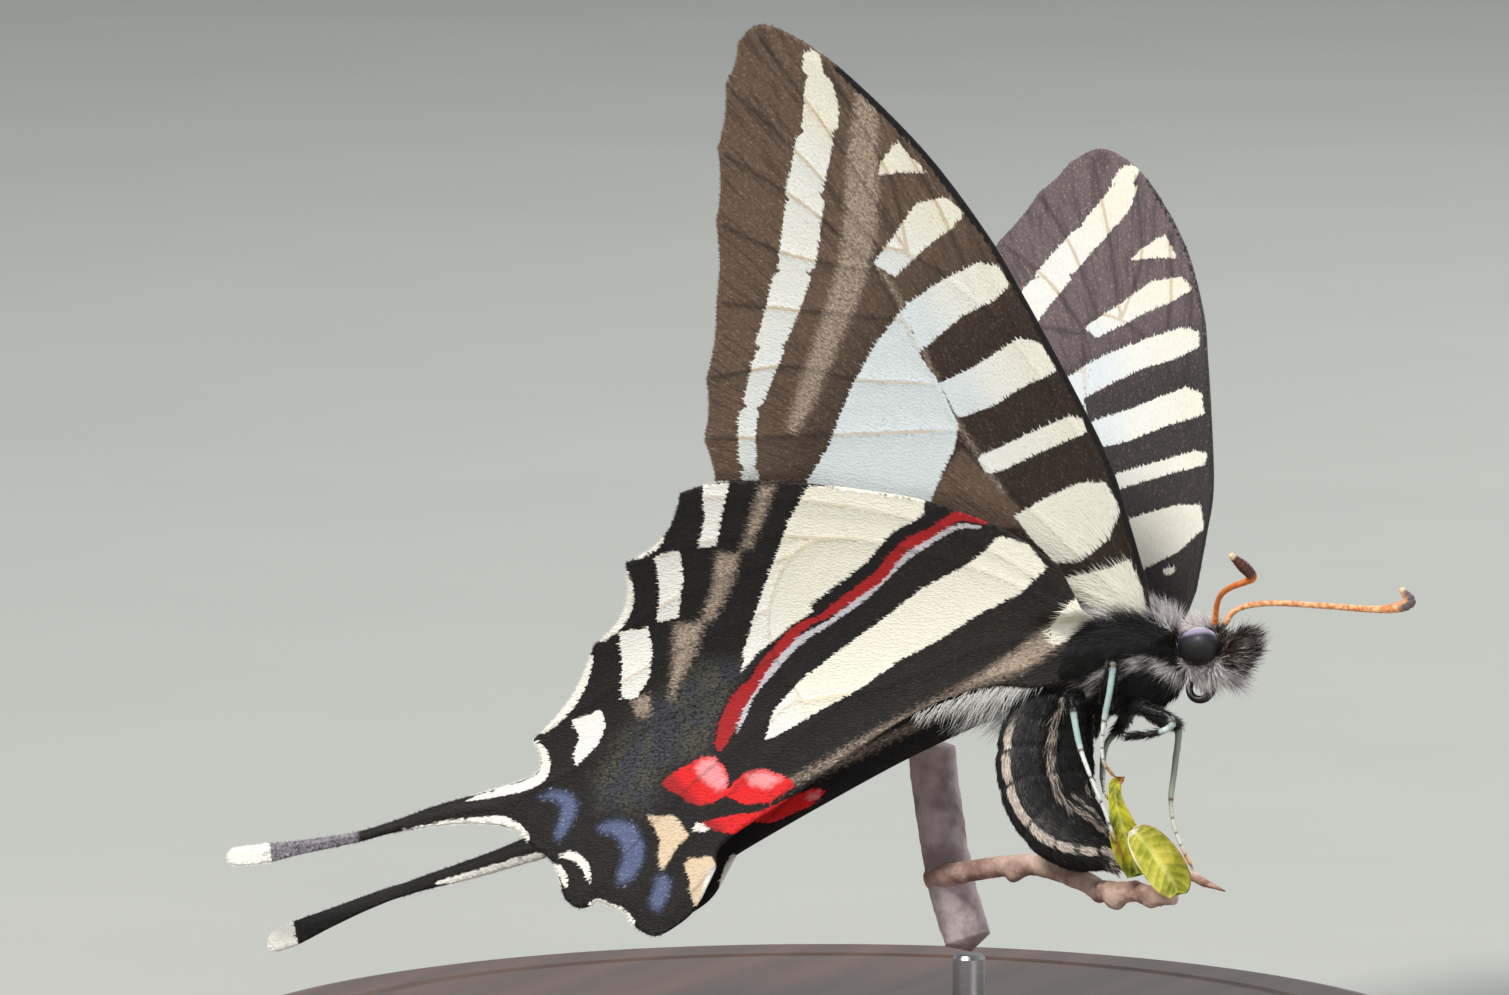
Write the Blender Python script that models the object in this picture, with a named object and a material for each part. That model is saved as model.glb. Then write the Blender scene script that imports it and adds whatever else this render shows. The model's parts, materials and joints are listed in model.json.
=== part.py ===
"""Zebra swallowtail butterfly, spring form, laying on a pawpaw bud: a still, life-size display model.

Lengths in the constants are millimetres. The butterfly is modelled in body axes (x to the head,
y to its left, z up) and leans with its perch. The display stand is upright in world axes, and the
origin is the centre of the underside of its base.
"""
import math

import bmesh
import bpy
from mathutils import Matrix, Vector
from mathutils.geometry import delaunay_2d_cdt

MM = 0.001
GAP = 0.3

# The butterfly in the world: where its wing hinges are, and how far it climbs and leans.
BODY_AT = (19.63, -1.35, 29.82)
PITCH_UP = 9.7
LEAN_LEFT = 15.0

# Wings
OPENING = 32.5
HINGE_Y = 1.65
MEMBRANE = 0.5
RIDGE = 0.12
RIDGE_HALF_WIDTH = 0.26
CAMBER = -0.5
CAMBER_REACH = 36.0
LAYER = 1.05
BEND_WIDTH = 2.0
ROOT_SINK = 1.5

# Forewing in its own plane: u to the head, v out to the tip. Front edge, then vein ends on the margin.
FORE_FRONT = [(0.9, 1.2), (0.8, 5.0), (0.6, 8.4), (-0.4, 13.2), (-1.6, 18.2), (-2.6, 21.9), (-4.8, 27.3), (-8.1, 32.7)]
FORE_APEX = [(-10.6, 35.3), (-12.1, 35.8), (-13.4, 35.0)]
FORE_VEIN_ENDS = [(-14.8, 32.8), (-16.4, 29.2), (-17.8, 25.0), (-19.2, 20.4), (-21.1, 16.1), (-22.3, 12.6), (-22.6, 9.2)]
FORE_SCALLOP = 0.18
FORE_REAR = [(-20.9, 7.9), (-14.0, 5.1), (-7.0, 2.3), (-3.2, 0.6)]
FORE_ROOT = [(-1.6, -1.2), (0.6, -1.0)]

# Hindwing: front edge, then vein ends with the depth of the bay that follows each, tail, lobes, inner edge.
HIND_FRONT = [(-3.4, 3.3), (-6.3, 5.8), (-9.9, 7.7), (-13.7, 8.9), (-17.4, 9.8), (-21.5, 10.4)]
HIND_CORNER = (-24.1, 10.1)
HIND_TEETH = [(-28.45, 6.5), (-31.6, 2.1), (-36.0, -2.3)]
HIND_BAYS = [0.75, 0.85, 0.5]
TAIL_ROOT_UPPER = [(-35.75, -3.5), (-36.8, -4.3)]
TAIL_ROOT_LOWER = [(-38.0, -6.1), (-36.9, -6.9)]
TAIL_HALF_WIDTHS = [0.62, 0.55, 0.42, 0.36, 0.42, 0.5, 0.42]
RIGHT_TAIL = [(-38.4, -5.2), (-41.0, -5.2), (-44.0, -5.55), (-47.0, -5.6), (-50.3, -5.8), (-53.2, -5.9), (-54.9, -6.0)]
LEFT_TAIL = [(-38.3, -6.6), (-40.6, -8.2), (-43.4, -9.3), (-46.2, -9.95), (-49.0, -10.6), (-51.8, -11.25), (-53.8, -11.75)]
HIND_LOBES = [(-35.2, -8.7), (-33.7, -10.6), (-31.0, -11.45), (-29.3, -12.4), (-27.6, -11.9), (-26.0, -10.3)]
HIND_LOBE_BAYS = [0.2, 0.35, 0.3, 0.0, 0.0]
RIGHT_INNER = [(-25.0, -8.4), (-20.4, -6.5), (-14.2, -3.8), (-9.2, -2.6), (-5.4, -3.0)]
LEFT_INNER = [(-25.0, -9.3), (-20.4, -7.5), (-14.6, -5.3), (-9.2, -3.6), (-5.4, -3.4)]
HIND_ROOT = [(-2.4, -3.3), (-2.4, 0.4)]

# Veins of each wing in the same planes, from the root or the cell out to the margin.
FORE_VEINS = [
    [(0.1, 0.5), (0.3, 6.0), (-1.3, 12.0), (-3.4, 17.0), (-6.4, 20.8), (-8.6, 22.2), (-9.7, 21.4)],
    [(-0.6, 0.5), (-3.5, 4.7), (-6.0, 8.2), (-7.4, 11.2), (-8.0, 14.0), (-8.8, 17.9), (-9.7, 21.4)],
    [(-2.3, 14.4), (-3.0, 20.0), (-3.7, 24.0)],
    [(-4.2, 18.1), (-4.7, 23.0), (-5.9, 28.3)],
    [(-7.4, 21.6), (-7.2, 26.5), (-9.0, 33.2)],
    [(-7.4, 21.6), (-9.4, 28.0), (-12.0, 35.1)],
    [(-8.9, 22.1), (-11.5, 27.5), (-14.5, 32.3)],
    [(-9.7, 21.4), (-12.6, 25.4), (-16.1, 28.8)],
    [(-9.5, 20.8), (-14.3, 22.6), (-17.4, 24.7)],
    [(-8.8, 17.9), (-13.0, 18.9), (-18.8, 20.3)],
    [(-8.0, 14.0), (-12.5, 14.9), (-16.4, 16.2), (-20.7, 16.1)],
    [(-7.4, 11.2), (-15.9, 12.0), (-21.9, 12.6)],
    [(-1.2, 0.2), (-7.0, 3.7), (-15.0, 7.2), (-22.0, 9.2)],
]
HIND_VEINS = [
    [(-3.2, 1.6), (-9.5, 6.2), (-17.0, 8.7), (-23.7, 9.9)],
    [(-3.2, 0.6), (-8.0, 3.6), (-15.0, 6.2), (-18.6, 5.7), (-20.8, 2.8), (-21.0, 0.2), (-19.7, -2.3)],
    [(-3.2, -0.6), (-8.0, -0.5), (-14.5, -1.9), (-19.7, -2.3)],
    [(-15.0, 6.2), (-22.0, 7.2), (-28.0, 6.4)],
    [(-18.6, 5.7), (-25.0, 4.5), (-31.1, 2.2)],
    [(-20.8, 2.8), (-28.0, 0.8), (-35.5, -2.1)],
    [(-21.0, 0.2), (-29.0, -2.5), (-37.4, -5.1)],
    [(-19.9, -2.0), (-27.0, -5.7), (-33.4, -10.2)],
    [(-16.8, -2.1), (-24.0, -5.9), (-30.8, -11.0)],
    [(-3.4, -1.6), (-12.0, -2.9), (-20.0, -5.7), (-28.6, -11.7)],
]

# The left wings swing a little further than the right ones: turn about body x, y, z in degrees, and shift.
LEFT_FORE_TURN = (-0.45, 1.5, 2.1)
LEFT_FORE_SHIFT = (0.8, 0.28, 0.19)
LEFT_HIND_TURN = (-0.3, 2.8, 2.1)
LEFT_HIND_SHIFT = (0.0, 0.35, 0.0)

# Body sections: x, centre height, half width, half height.
THORAX = [
    (-6.1, -3.0, 1.5, 1.5), (-5.4, -2.95, 2.0, 2.2), (-4.0, -2.8, 2.4, 2.7), (-2.2, -2.7, 2.6, 3.05),
    (-0.4, -2.7, 2.5, 3.1), (0.9, -2.7, 2.05, 2.6), (1.5, -2.7, 1.6, 1.95), (1.85, -2.7, 1.2, 1.4),
]
HEAD = [(2.15, -2.65, 1.15, 1.25), (2.8, -2.65, 1.5, 1.55), (3.5, -2.7, 1.45, 1.5), (4.15, -2.8, 1.1, 1.2), (4.5, -2.85, 0.6, 0.7)]
EYE_AT = (3.32, 1.2, -2.6)
EYE_RADII = (1.18, 0.8, 1.05)
PALP = [(3.9, 0.55, -3.7), (4.7, 0.6, -3.3), (5.3, 0.55, -2.6), (5.6, 0.5, -1.95)]
PALP_RADII = [0.42, 0.45, 0.4, 0.22]
COIL_AT = (2.75, -4.75)
COIL_OUTER = 0.82
COIL_INNER = 0.2
COIL_TURNS = 1.12

# Abdomen: centre line and radii, parted into three lengths.
ABDOMEN = [
    (-5.5, 0.0, -4.2), (-6.2, 0.0, -5.6), (-6.6, 0.0, -7.3), (-6.5, 0.0, -9.2),
    (-5.9, 0.0, -10.9), (-4.8, 0.0, -12.3), (-3.3, 0.0, -13.4), (-2.2, 0.0, -14.0),
]
ABDOMEN_RADII = [2.0, 2.5, 2.75, 2.65, 2.2, 1.5, 0.8, 0.4]
ABDOMEN_PARTS = {"abdomen_front": (0.0, 0.36), "abdomen_middle": (0.36, 0.7), "abdomen_tip": (0.7, 1.0)}
ABDOMEN_FLATTEN = 0.94

RIGHT_ANTENNA = [
    (4.05, -0.55, -1.35), (4.63, -1.5, -0.52), (5.51, -2.8, -0.21), (6.72, -4.2, -0.17),
    (8.0, -5.4, -0.23), (8.74, -6.1, -0.13), (8.6, -6.9, 0.35), (8.2, -7.6, 0.9),
]
LEFT_ANTENNA = [
    (4.1, 0.5, -1.3), (4.84, 0.8, -0.45), (6.45, 1.6, -0.2), (8.95, 3.2, -0.41),
    (11.0, 4.5, -0.64), (12.2, 5.2, -0.62), (12.95, 5.5, -0.3), (12.6, 5.2, 0.4),
]
ANTENNA_RADII = [0.25, 0.25, 0.25, 0.25, 0.25, 0.3, 0.36, 0.2]

LEGS = {
    "leg_front_right": [
        (-0.9, -0.9, -5.2), (0.3, -1.4, -5.8), (1.2, -1.5, -6.1), (1.7, -1.6, -6.7), (1.2, -1.7, -7.25),
        (0.2, -1.75, -7.4), (-1.0, -1.75, -7.3),
    ],
    "leg_front_left": [
        (-0.9, 1.0, -5.3), (-0.3, 2.0, -6.1), (0.1, 2.8, -6.6), (-0.1, 2.7, -8.2), (-0.2, 2.5, -9.8),
        (-0.2, 2.2, -11.6), (0.4, 1.8, -13.0), (1.1, 1.3, -14.1),
    ],
    "leg_middle_right": [
        (-2.2, -1.2, -5.0), (-1.4, -2.3, -4.6), (-1.5, -2.75, -5.2), (-1.85, -2.6, -6.2), (-2.23, -2.2, -7.5),
        (-2.3, -1.8, -8.4), (-1.95, -1.3, -9.1),
    ],
    "leg_middle_left": [
        (-2.2, 1.2, -5.0), (-2.5, 2.6, -5.5), (-3.0, 3.1, -6.6), (-3.1, 3.0, -8.4), (-2.9, 2.0, -10.0),
        (-2.5, 0.9, -11.0),
    ],
    "leg_hind_right": [
        (-3.7, -1.6, -4.6), (-3.5, -3.0, -4.9), (-3.3, -3.35, -5.8), (-3.04, -3.35, -7.55), (-2.58, -3.2, -9.23),
        (-2.1, -2.6, -11.1), (-1.9, -1.9, -12.6), (-1.75, -1.3, -13.6),
    ],
    "leg_hind_left": [
        (-3.7, 1.6, -4.6), (-3.8, 3.1, -5.2), (-3.9, 3.5, -6.6), (-3.9, 3.5, -8.8), (-3.5, 3.1, -11.2),
        (-3.0, 2.2, -13.1), (-2.7, 1.2, -14.3),
    ],
}
FEMUR_RADIUS = 0.34
TARSUS_RADIUS = 0.25

# Perch and stand, in world axes.
STEM = [(4.3, 4.45, 20.6), (4.8, 4.2, 17.6), (5.8, 3.6, 13.6), (7.0, 3.25, 10.3)]
STEM_RADIUS = 1.35
TWIG = [(5.0, 3.3, 13.6), (7.4, 1.6, 14.3), (12.3, -0.45, 15.3), (16.2, -2.7, 15.0), (18.0, -4.0, 14.6)]
TWIG_RADII = [0.75, 0.62, 0.6, 0.6, 0.65]
KNOB = [(18.5, -4.35, 14.5), (19.6, -4.9, 14.45), (21.2, -5.1, 14.5), (22.8, -5.2, 14.6), (23.6, -5.2, 14.7)]
KNOB_RADII = [0.62, 0.85, 0.8, 0.85, 0.4]
LEAF_FRONT = [(22.5, -5.9, 15.3), (21.3, -5.8, 16.1), (20.0, -5.4, 17.6), (18.9, -4.7, 19.6), (18.6, -4.2, 21.1)]
LEAF_FRONT_RADII = [0.45, 0.7, 0.72, 0.5, 0.25]
LEAF_REAR = [(23.1, -4.7, 15.2), (22.9, -4.4, 16.2), (22.3, -4.15, 17.3), (21.2, -4.0, 18.2)]
LEAF_REAR_RADII = [0.4, 0.62, 0.6, 0.25]
SCALE = [(23.6, -5.6, 15.35), (24.2, -5.4, 16.0), (25.0, -5.3, 15.9), (25.7, -5.3, 15.2)]
SCALE_RADII = [0.45, 0.55, 0.5, 0.25]
LEAVES = {
    "perch_leaf_front": (LEAF_FRONT, LEAF_FRONT_RADII, "leaf"),
    "perch_leaf_rear": (LEAF_REAR, LEAF_REAR_RADII, "leaf"),
    "perch_scale": (SCALE, SCALE_RADII, "bark"),
}
BASE_HEIGHT = 5.0
BASE_PROFILE = [(34.8, 0.0), (36.0, 1.2), (35.9, 1.9), (34.95, 2.8), (35.2, 3.8), (34.3, 4.75), (33.2, 5.0)]
ROD_AT = (7.1, 3.2)
ROD_RADIUS = 0.9
COLLAR = [(1.68, 0.0), (1.68, 0.3), (1.2, 0.55), (0.9, 0.95)]

# Colour, roughness and metallic value of each material.
COLOURS = {
    "wing": ((0.80, 0.78, 0.68), 0.7, 0.0),
    "hair": ((0.30, 0.28, 0.27), 0.8, 0.0),
    "eye": ((0.02, 0.02, 0.04), 0.2, 0.0),
    "antenna": ((0.70, 0.28, 0.06), 0.5, 0.0),
    "proboscis": ((0.10, 0.06, 0.04), 0.4, 0.0),
    "leg": ((0.62, 0.66, 0.72), 0.6, 0.0),
    "bark": ((0.22, 0.13, 0.08), 0.85, 0.0),
    "leaf": ((0.46, 0.44, 0.12), 0.6, 0.0),
    "stand_wood": ((0.10, 0.05, 0.03), 0.4, 0.0),
    "steel": ((0.60, 0.60, 0.62), 0.3, 1.0),
}
SIDES = 16


def clear_scene():
    for obj in list(bpy.data.objects):
        bpy.data.objects.remove(obj, do_unlink=True)


def material(name):
    found = bpy.data.materials.get(name)
    if found:
        return found
    colour, roughness, metallic = COLOURS[name]
    made = bpy.data.materials.new(name)
    made.use_nodes = True
    shader = made.node_tree.nodes["Principled BSDF"]
    shader.inputs["Base Color"].default_value = (*colour, 1.0)
    shader.inputs["Roughness"].default_value = roughness
    shader.inputs["Metallic"].default_value = metallic
    made.diffuse_color = (*colour, 1.0)
    return made


def body_matrix():
    lean = Matrix.Rotation(math.radians(-LEAN_LEFT), 4, "X")
    climb = Matrix.Rotation(math.radians(-PITCH_UP), 4, "Y")
    return Matrix.Translation(Vector(BODY_AT)) @ climb @ lean


def new_object(name, points, faces, colour, frame=None, helper=False):
    """A closed mesh object from millimetre points, moved by frame and stored in metres."""
    frame = frame or Matrix.Identity(4)
    mesh = bpy.data.meshes.new(name)
    mesh.from_pydata([(frame @ Vector(p)) * MM for p in points], [], faces)
    mesh.materials.append(material(colour))
    bm = bmesh.new()
    bm.from_mesh(mesh)
    bmesh.ops.recalc_face_normals(bm, faces=bm.faces)
    if bm.calc_volume(signed=True) < 0:
        bmesh.ops.reverse_faces(bm, faces=bm.faces)
    bm.to_mesh(mesh)
    bm.free()
    mesh.shade_smooth()
    mesh.set_sharp_from_angle(angle=math.radians(40))
    obj = bpy.data.objects.new(name, mesh)
    bpy.context.scene.collection.objects.link(obj)
    if helper:
        obj.hide_render = True
        obj.display_type = "WIRE"
    return obj


def smooth_line(points, steps):
    """Points along a Catmull-Rom curve through the given ones, of any dimension."""
    rows = [Vector(p) for p in points]
    rows = [rows[0] * 2 - rows[1]] + rows + [rows[-1] * 2 - rows[-2]]
    out = []
    for i in range(1, len(rows) - 2):
        a, b, c, d = rows[i - 1:i + 3]
        for k in range(steps):
            t = k / steps
            point = b * 2 + (c - a) * t + (a * 2 - b * 5 + c * 4 - d) * t * t
            out.append((point + (b * 3 - a - c * 3 + d) * t ** 3) * 0.5)
    out.append(rows[-2])
    return out


def directions(line):
    """Unit vectors along a line, one for each of its points."""
    last = len(line) - 1
    return [(line[min(i + 1, last)] - line[max(i - 1, 0)]).normalized() for i in range(last + 1)]


def tube_mesh(line, radii, sides, flatten=1.0, flat_axis=Vector((0, 1, 0)), ways=None):
    """Rings square to the line, closed by flat ends."""
    points = []
    side = flat_axis
    ways = ways or directions(line)
    for i, centre in enumerate(line):
        along = ways[i]
        side = (side - along * side.dot(along)).normalized()
        up = along.cross(side)
        for k in range(sides):
            turn = math.tau * k / sides
            offset = side * math.cos(turn) * flatten + up * math.sin(turn)
            points.append(centre + offset * radii[i])
    faces = [tuple(range(sides))[::-1]]
    for i in range(len(line) - 1):
        for k in range(sides):
            a = i * sides + k
            b = i * sides + (k + 1) % sides
            faces.append((a, b, b + sides, a + sides))
    faces.append(tuple(range((len(line) - 1) * sides, len(line) * sides)))
    return points, faces


def tube(name, line, radii, colour, frame, steps=3, sides=10, grow=0.0, **more):
    """A tube along a smooth curve; grow makes it thicker and longer, for a cutter."""
    rows = smooth_line([(*p, r) for p, r in zip(line, radii)], steps)
    spine = [Vector(row[:3]) for row in rows]
    wide = [row[3] + grow for row in rows]
    if grow:
        spine[0] = spine[0] - (spine[1] - spine[0]).normalized() * grow
        spine[-1] = spine[-1] + (spine[-1] - spine[-2]).normalized() * grow
    points, faces = tube_mesh(spine, wide, sides, **more)
    return new_object(name, points, faces, colour, frame, helper=grow > 0)


def loft(name, sections, colour, frame, grow=0.0, sides=SIDES):
    """Ellipse sections along body x, closed by flat ends."""
    rows = smooth_line(sections, 2)
    points = []
    for i, (x, z, half_width, half_height) in enumerate(rows):
        if i in (0, len(rows) - 1):
            x += grow if i else -grow
        for k in range(sides):
            turn = math.tau * k / sides
            points.append((x, math.cos(turn) * (half_width + grow), z + math.sin(turn) * (half_height + grow)))
    faces = [tuple(range(sides))]
    for i in range(len(rows) - 1):
        for k in range(sides):
            a = i * sides + k
            b = i * sides + (k + 1) % sides
            faces.append((a, a + sides, b + sides, b))
    faces.append(tuple(range((len(rows) - 1) * sides, len(rows) * sides))[::-1])
    return new_object(name, points, faces, colour, frame, helper=grow > 0)


def ball(name, centre, radii, colour, frame, grow=0.0):
    bm = bmesh.new()
    bmesh.ops.create_uvsphere(bm, u_segments=16, v_segments=10, radius=1.0)
    points = [tuple(c + p * (r + grow) for c, p, r in zip(centre, v.co, radii)) for v in bm.verts]
    faces = [tuple(v.index for v in f.verts) for f in bm.faces]
    bm.free()
    return new_object(name, points, faces, colour, frame, helper=grow > 0)


def keep_largest(obj):
    """Leaves only the largest closed surface of a mesh."""
    bm = bmesh.new()
    bm.from_mesh(obj.data)
    bm.verts.ensure_lookup_table()
    left = set(bm.verts)
    shells = []
    while left:
        stack = [left.pop()]
        shell = set(stack)
        while stack:
            for edge in stack.pop().link_edges:
                for vert in edge.verts:
                    if vert in left:
                        left.discard(vert)
                        shell.add(vert)
                        stack.append(vert)
        shells.append(shell)

    def extent(shell):
        low = [min(v.co[i] for v in shell) for i in range(3)]
        high = [max(v.co[i] for v in shell) for i in range(3)]
        return (Vector(high) - Vector(low)).length

    biggest = max(shells, key=extent)
    spare = [v for v in bm.verts if v not in biggest]
    if spare:
        bmesh.ops.delete(bm, geom=spare, context="VERTS")
    bm.to_mesh(obj.data)
    bm.free()


def cut(obj, cutter):
    """Takes the cutter's shape out of the object for good and removes the cutter."""
    modifier = obj.modifiers.new("cut", "BOOLEAN")
    modifier.operation = "DIFFERENCE"
    modifier.object = cutter
    graph = bpy.context.evaluated_depsgraph_get()
    mesh = bpy.data.meshes.new_from_object(obj.evaluated_get(graph))
    obj.modifiers.clear()
    obj.data = mesh
    bpy.data.objects.remove(cutter, do_unlink=True)
    keep_largest(obj)
    mesh.shade_smooth()
    mesh.set_sharp_from_angle(angle=math.radians(40))


def ramp(value, start, end):
    t = min(max((value - start) / (end - start), 0.0), 1.0)
    return t * t * (3 - 2 * t)


def fore_height(u, v):
    reach = min(math.hypot(u, v) / CAMBER_REACH, 1.3)
    return CAMBER * 4 * reach * (1 - reach)


def hind_height(u, v):
    """The hindwing lies outside the forewing and bends upright below the hinge line."""
    bend = math.tan(math.radians(OPENING)) * BEND_WIDTH * math.log1p(math.exp(-v / BEND_WIDTH))
    sink = ROOT_SINK * ramp(u, -6.5, -3.0) * ramp(-v, -0.8, 0.6)
    return fore_height(u, v) + LAYER + bend - sink


def bay(a, b, depth, steps=5):
    """Points of a shallow bay from a to b, a included, hollowed toward the wing's inside."""
    a = Vector(a)
    b = Vector(b)
    inward = Vector((b.y - a.y, a.x - b.x)).normalized()
    if inward.x < 0:
        inward = -inward
    return [a.lerp(b, k / steps) + inward * depth * math.sin(math.pi * k / steps) for k in range(steps)]


def fore_outline():
    out = smooth_line(FORE_FRONT + FORE_APEX, 2)[:-1]
    ends = [FORE_APEX[-1]] + FORE_VEIN_ENDS
    for a, b in zip(ends, ends[1:]):
        out += bay(a, b, FORE_SCALLOP, 3)
    out += smooth_line([FORE_VEIN_ENDS[-1]] + FORE_REAR, 2)
    return out + [Vector(p) for p in FORE_ROOT]


def tail_sides(centre_line):
    """Upper and lower edge of the tail from its centre line and half widths."""
    rows = smooth_line([(*p, w) for p, w in zip(centre_line, TAIL_HALF_WIDTHS)], 2)
    upper = []
    lower = []
    for i, row in enumerate(rows):
        along = (rows[min(i + 1, len(rows) - 1)] - rows[max(i - 1, 0)]).to_2d().normalized()
        across = Vector((along.y, -along.x))
        upper.append(row.to_2d() + across * row[2])
        lower.append(row.to_2d() - across * row[2])
    tip = rows[-1].to_2d() + (rows[-1] - rows[-2]).to_2d().normalized() * TAIL_HALF_WIDTHS[-1] * 0.8
    return upper, [tip], lower[::-1]


def hind_outline(tail_line, inner):
    out = smooth_line(HIND_FRONT + [HIND_CORNER], 2)[:-1]
    ends = [HIND_CORNER] + HIND_TEETH
    for a, b, depth in zip(ends, ends[1:], HIND_BAYS):
        out += bay(a, b, depth)
    out += [Vector(HIND_TEETH[-1])] + [Vector(p) for p in TAIL_ROOT_UPPER]
    upper, tip, lower = tail_sides(tail_line)
    out += upper + tip + lower
    out += [Vector(p) for p in TAIL_ROOT_LOWER]
    for a, b, depth in zip(HIND_LOBES, HIND_LOBES[1:], HIND_LOBE_BAYS):
        out += bay(a, b, depth, 3)
    out += smooth_line([HIND_LOBES[-1]] + inner, 2)
    return out + [Vector(p) for p in HIND_ROOT]


def vein_rails(line):
    """Centre line and both edges of a vein, tapering to its end."""
    rows = smooth_line(line, 2)
    rails = [[], [], []]
    for i, row in enumerate(rows):
        along = (rows[min(i + 1, len(rows) - 1)] - rows[max(i - 1, 0)]).normalized()
        across = Vector((-along.y, along.x)) * RIDGE_HALF_WIDTH
        rails[0].append(row + across)
        rails[1].append(row)
        rails[2].append(row - across)
    return rails


def distance_to_line(point, line):
    best = 1e9
    for a, b in zip(line, line[1:]):
        span = b - a
        t = min(max((point - a).dot(span) / max(span.length_squared, 1e-9), 0.0), 1.0)
        best = min(best, (point - a - span * t).length)
    return best


def inside(point, outline):
    odd = False
    for a, b in zip(outline, outline[1:] + outline[:1]):
        if (a.y > point.y) != (b.y > point.y):
            if point.x < (b.x - a.x) * (point.y - a.y) / (b.y - a.y) + a.x:
                odd = not odd
    return odd


def wing_plan(outline, veins, grid=3.4):
    """Triangles of a wing in its plane: outline, vein ridges and a loose grid between them."""
    points = list(outline)
    count = len(points)
    edges = [(i, (i + 1) % count) for i in range(count)]
    centres = [smooth_line(line, 2) for line in veins]
    for line in veins:
        for rail in vein_rails(line):
            kept = [p for p in rail if inside(p, outline) and distance_to_line(p, outline + outline[:1]) > 0.12]
            edges += [(len(points) + i, len(points) + i + 1) for i in range(len(kept) - 1)]
            points += kept
    low = [min(p[i] for p in outline) for i in range(2)]
    high = [max(p[i] for p in outline) for i in range(2)]
    for row in range(int((high[1] - low[1]) / grid) + 1):
        for column in range(int((high[0] - low[0]) / grid) + 1):
            shift = grid / 2 if row % 2 else 0.0
            point = Vector((low[0] + column * grid + shift, low[1] + row * grid))
            if not inside(point, outline) or distance_to_line(point, outline + outline[:1]) < 1.0:
                continue
            if min(distance_to_line(point, c) for c in centres) > 1.1:
                points.append(point)
    flat = delaunay_2d_cdt(points, edges, [], 0, 1e-4, False)
    points = flat[0]
    kept = [t for t in flat[2] if inside((points[t[0]] + points[t[1]] + points[t[2]]) / 3, outline)]
    used = sorted({i for t in kept for i in t})
    place = {old: new for new, old in enumerate(used)}
    return [points[i] for i in used], [[place[i] for i in t] for t in kept], centres


def blade(name, outline, veins, height, frame):
    """A wing as thick as MEMBRANE, with its veins raised from both faces."""
    points, triangles, centres = wing_plan(outline, veins)
    top = []
    bottom = []
    step = 0.05
    for p in points:
        near = min(distance_to_line(p, c) for c in centres)
        half = MEMBRANE / 2 + RIDGE * max(0.0, 1 - near / RIDGE_HALF_WIDTH)
        slope_u = (height(p.x + step, p.y) - height(p.x - step, p.y)) / (2 * step)
        slope_v = (height(p.x, p.y + step) - height(p.x, p.y - step)) / (2 * step)
        normal = Vector((-slope_u, -slope_v, 1.0)).normalized()
        middle = Vector((p.x, p.y, height(p.x, p.y)))
        top.append(middle + normal * half)
        bottom.append(middle - normal * half)
    count = len(points)
    faces = [tuple(t) for t in triangles] + [tuple(i + count for i in reversed(t)) for t in triangles]
    sides = {}
    for t in triangles:
        for a, b in zip(t, list(t[1:]) + [t[0]]):
            sides[(a, b)] = True
    for a, b in sides:
        if (b, a) not in sides:
            faces += [(b, a, a + count), (b, a + count, b + count)]
    return new_object(name, top + bottom, faces, "wing", frame)


def wing_frame(side, turn=(0, 0, 0), shift=(0, 0, 0)):
    """Wing axes in the world: u along the body, v up and out, the third away from the body."""
    opening = math.radians(OPENING)
    v_axis = Vector((0, side * math.sin(opening), math.cos(opening)))
    out = Vector((0, side * math.cos(opening), -math.sin(opening)))
    axes = Matrix((Vector((1, 0, 0)), v_axis, out)).transposed().to_4x4()
    spin = Matrix.Identity(4)
    for angle, axis in zip(turn, "XYZ"):
        spin = Matrix.Rotation(math.radians(angle), 4, axis) @ spin
    hinge = Matrix.Translation(Vector((0, side * HINGE_Y, 0)) + Vector(shift))
    return body_matrix() @ hinge @ spin @ axes


def make_wings(frame):
    fore = fore_outline()
    wings = [
        blade("forewing_right", fore, FORE_VEINS, fore_height, wing_frame(-1)),
        blade("forewing_left", fore, FORE_VEINS, fore_height, wing_frame(1, LEFT_FORE_TURN, LEFT_FORE_SHIFT)),
        blade("hindwing_right", hind_outline(RIGHT_TAIL, RIGHT_INNER), HIND_VEINS + [RIGHT_TAIL[:-1]],
              hind_height, wing_frame(-1)),
        blade("hindwing_left", hind_outline(LEFT_TAIL, LEFT_INNER), HIND_VEINS + [LEFT_TAIL[:-1]],
              hind_height, wing_frame(1, LEFT_HIND_TURN, LEFT_HIND_SHIFT)),
    ]
    for wing in wings:
        cut(wing, loft("thorax_room", THORAX, "hair", frame, grow=GAP))
        cut(wing, abdomen_length("abdomen_room", 0.0, 0.5, frame, grow=GAP))


def abdomen_length(name, start, end, frame, grow=0.0):
    """The part of the abdomen between two shares of its centre line."""
    rows = smooth_line([(*p, r) for p, r in zip(ABDOMEN, ABDOMEN_RADII)], 6)
    last = len(rows) - 1
    first_row = round(start * last)
    end_row = round(end * last)
    picked = list(range(first_row, end_row, 2)) + [end_row]
    whole = [Vector(row[:3]) for row in rows]
    ways = [directions(whole)[i] for i in picked]
    spine = [whole[i] for i in picked]
    radii = [rows[i][3] + grow for i in picked]
    lap = grow if grow else -GAP / 2
    if start > 0 or grow:
        spine[0] = spine[0] - ways[0] * lap
    if end < 1 or grow:
        spine[-1] = spine[-1] + ways[-1] * lap
    points, faces = tube_mesh(spine, radii, SIDES, ABDOMEN_FLATTEN, ways=ways)
    return new_object(name, points, faces, "hair", frame, helper=grow > 0)


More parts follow.
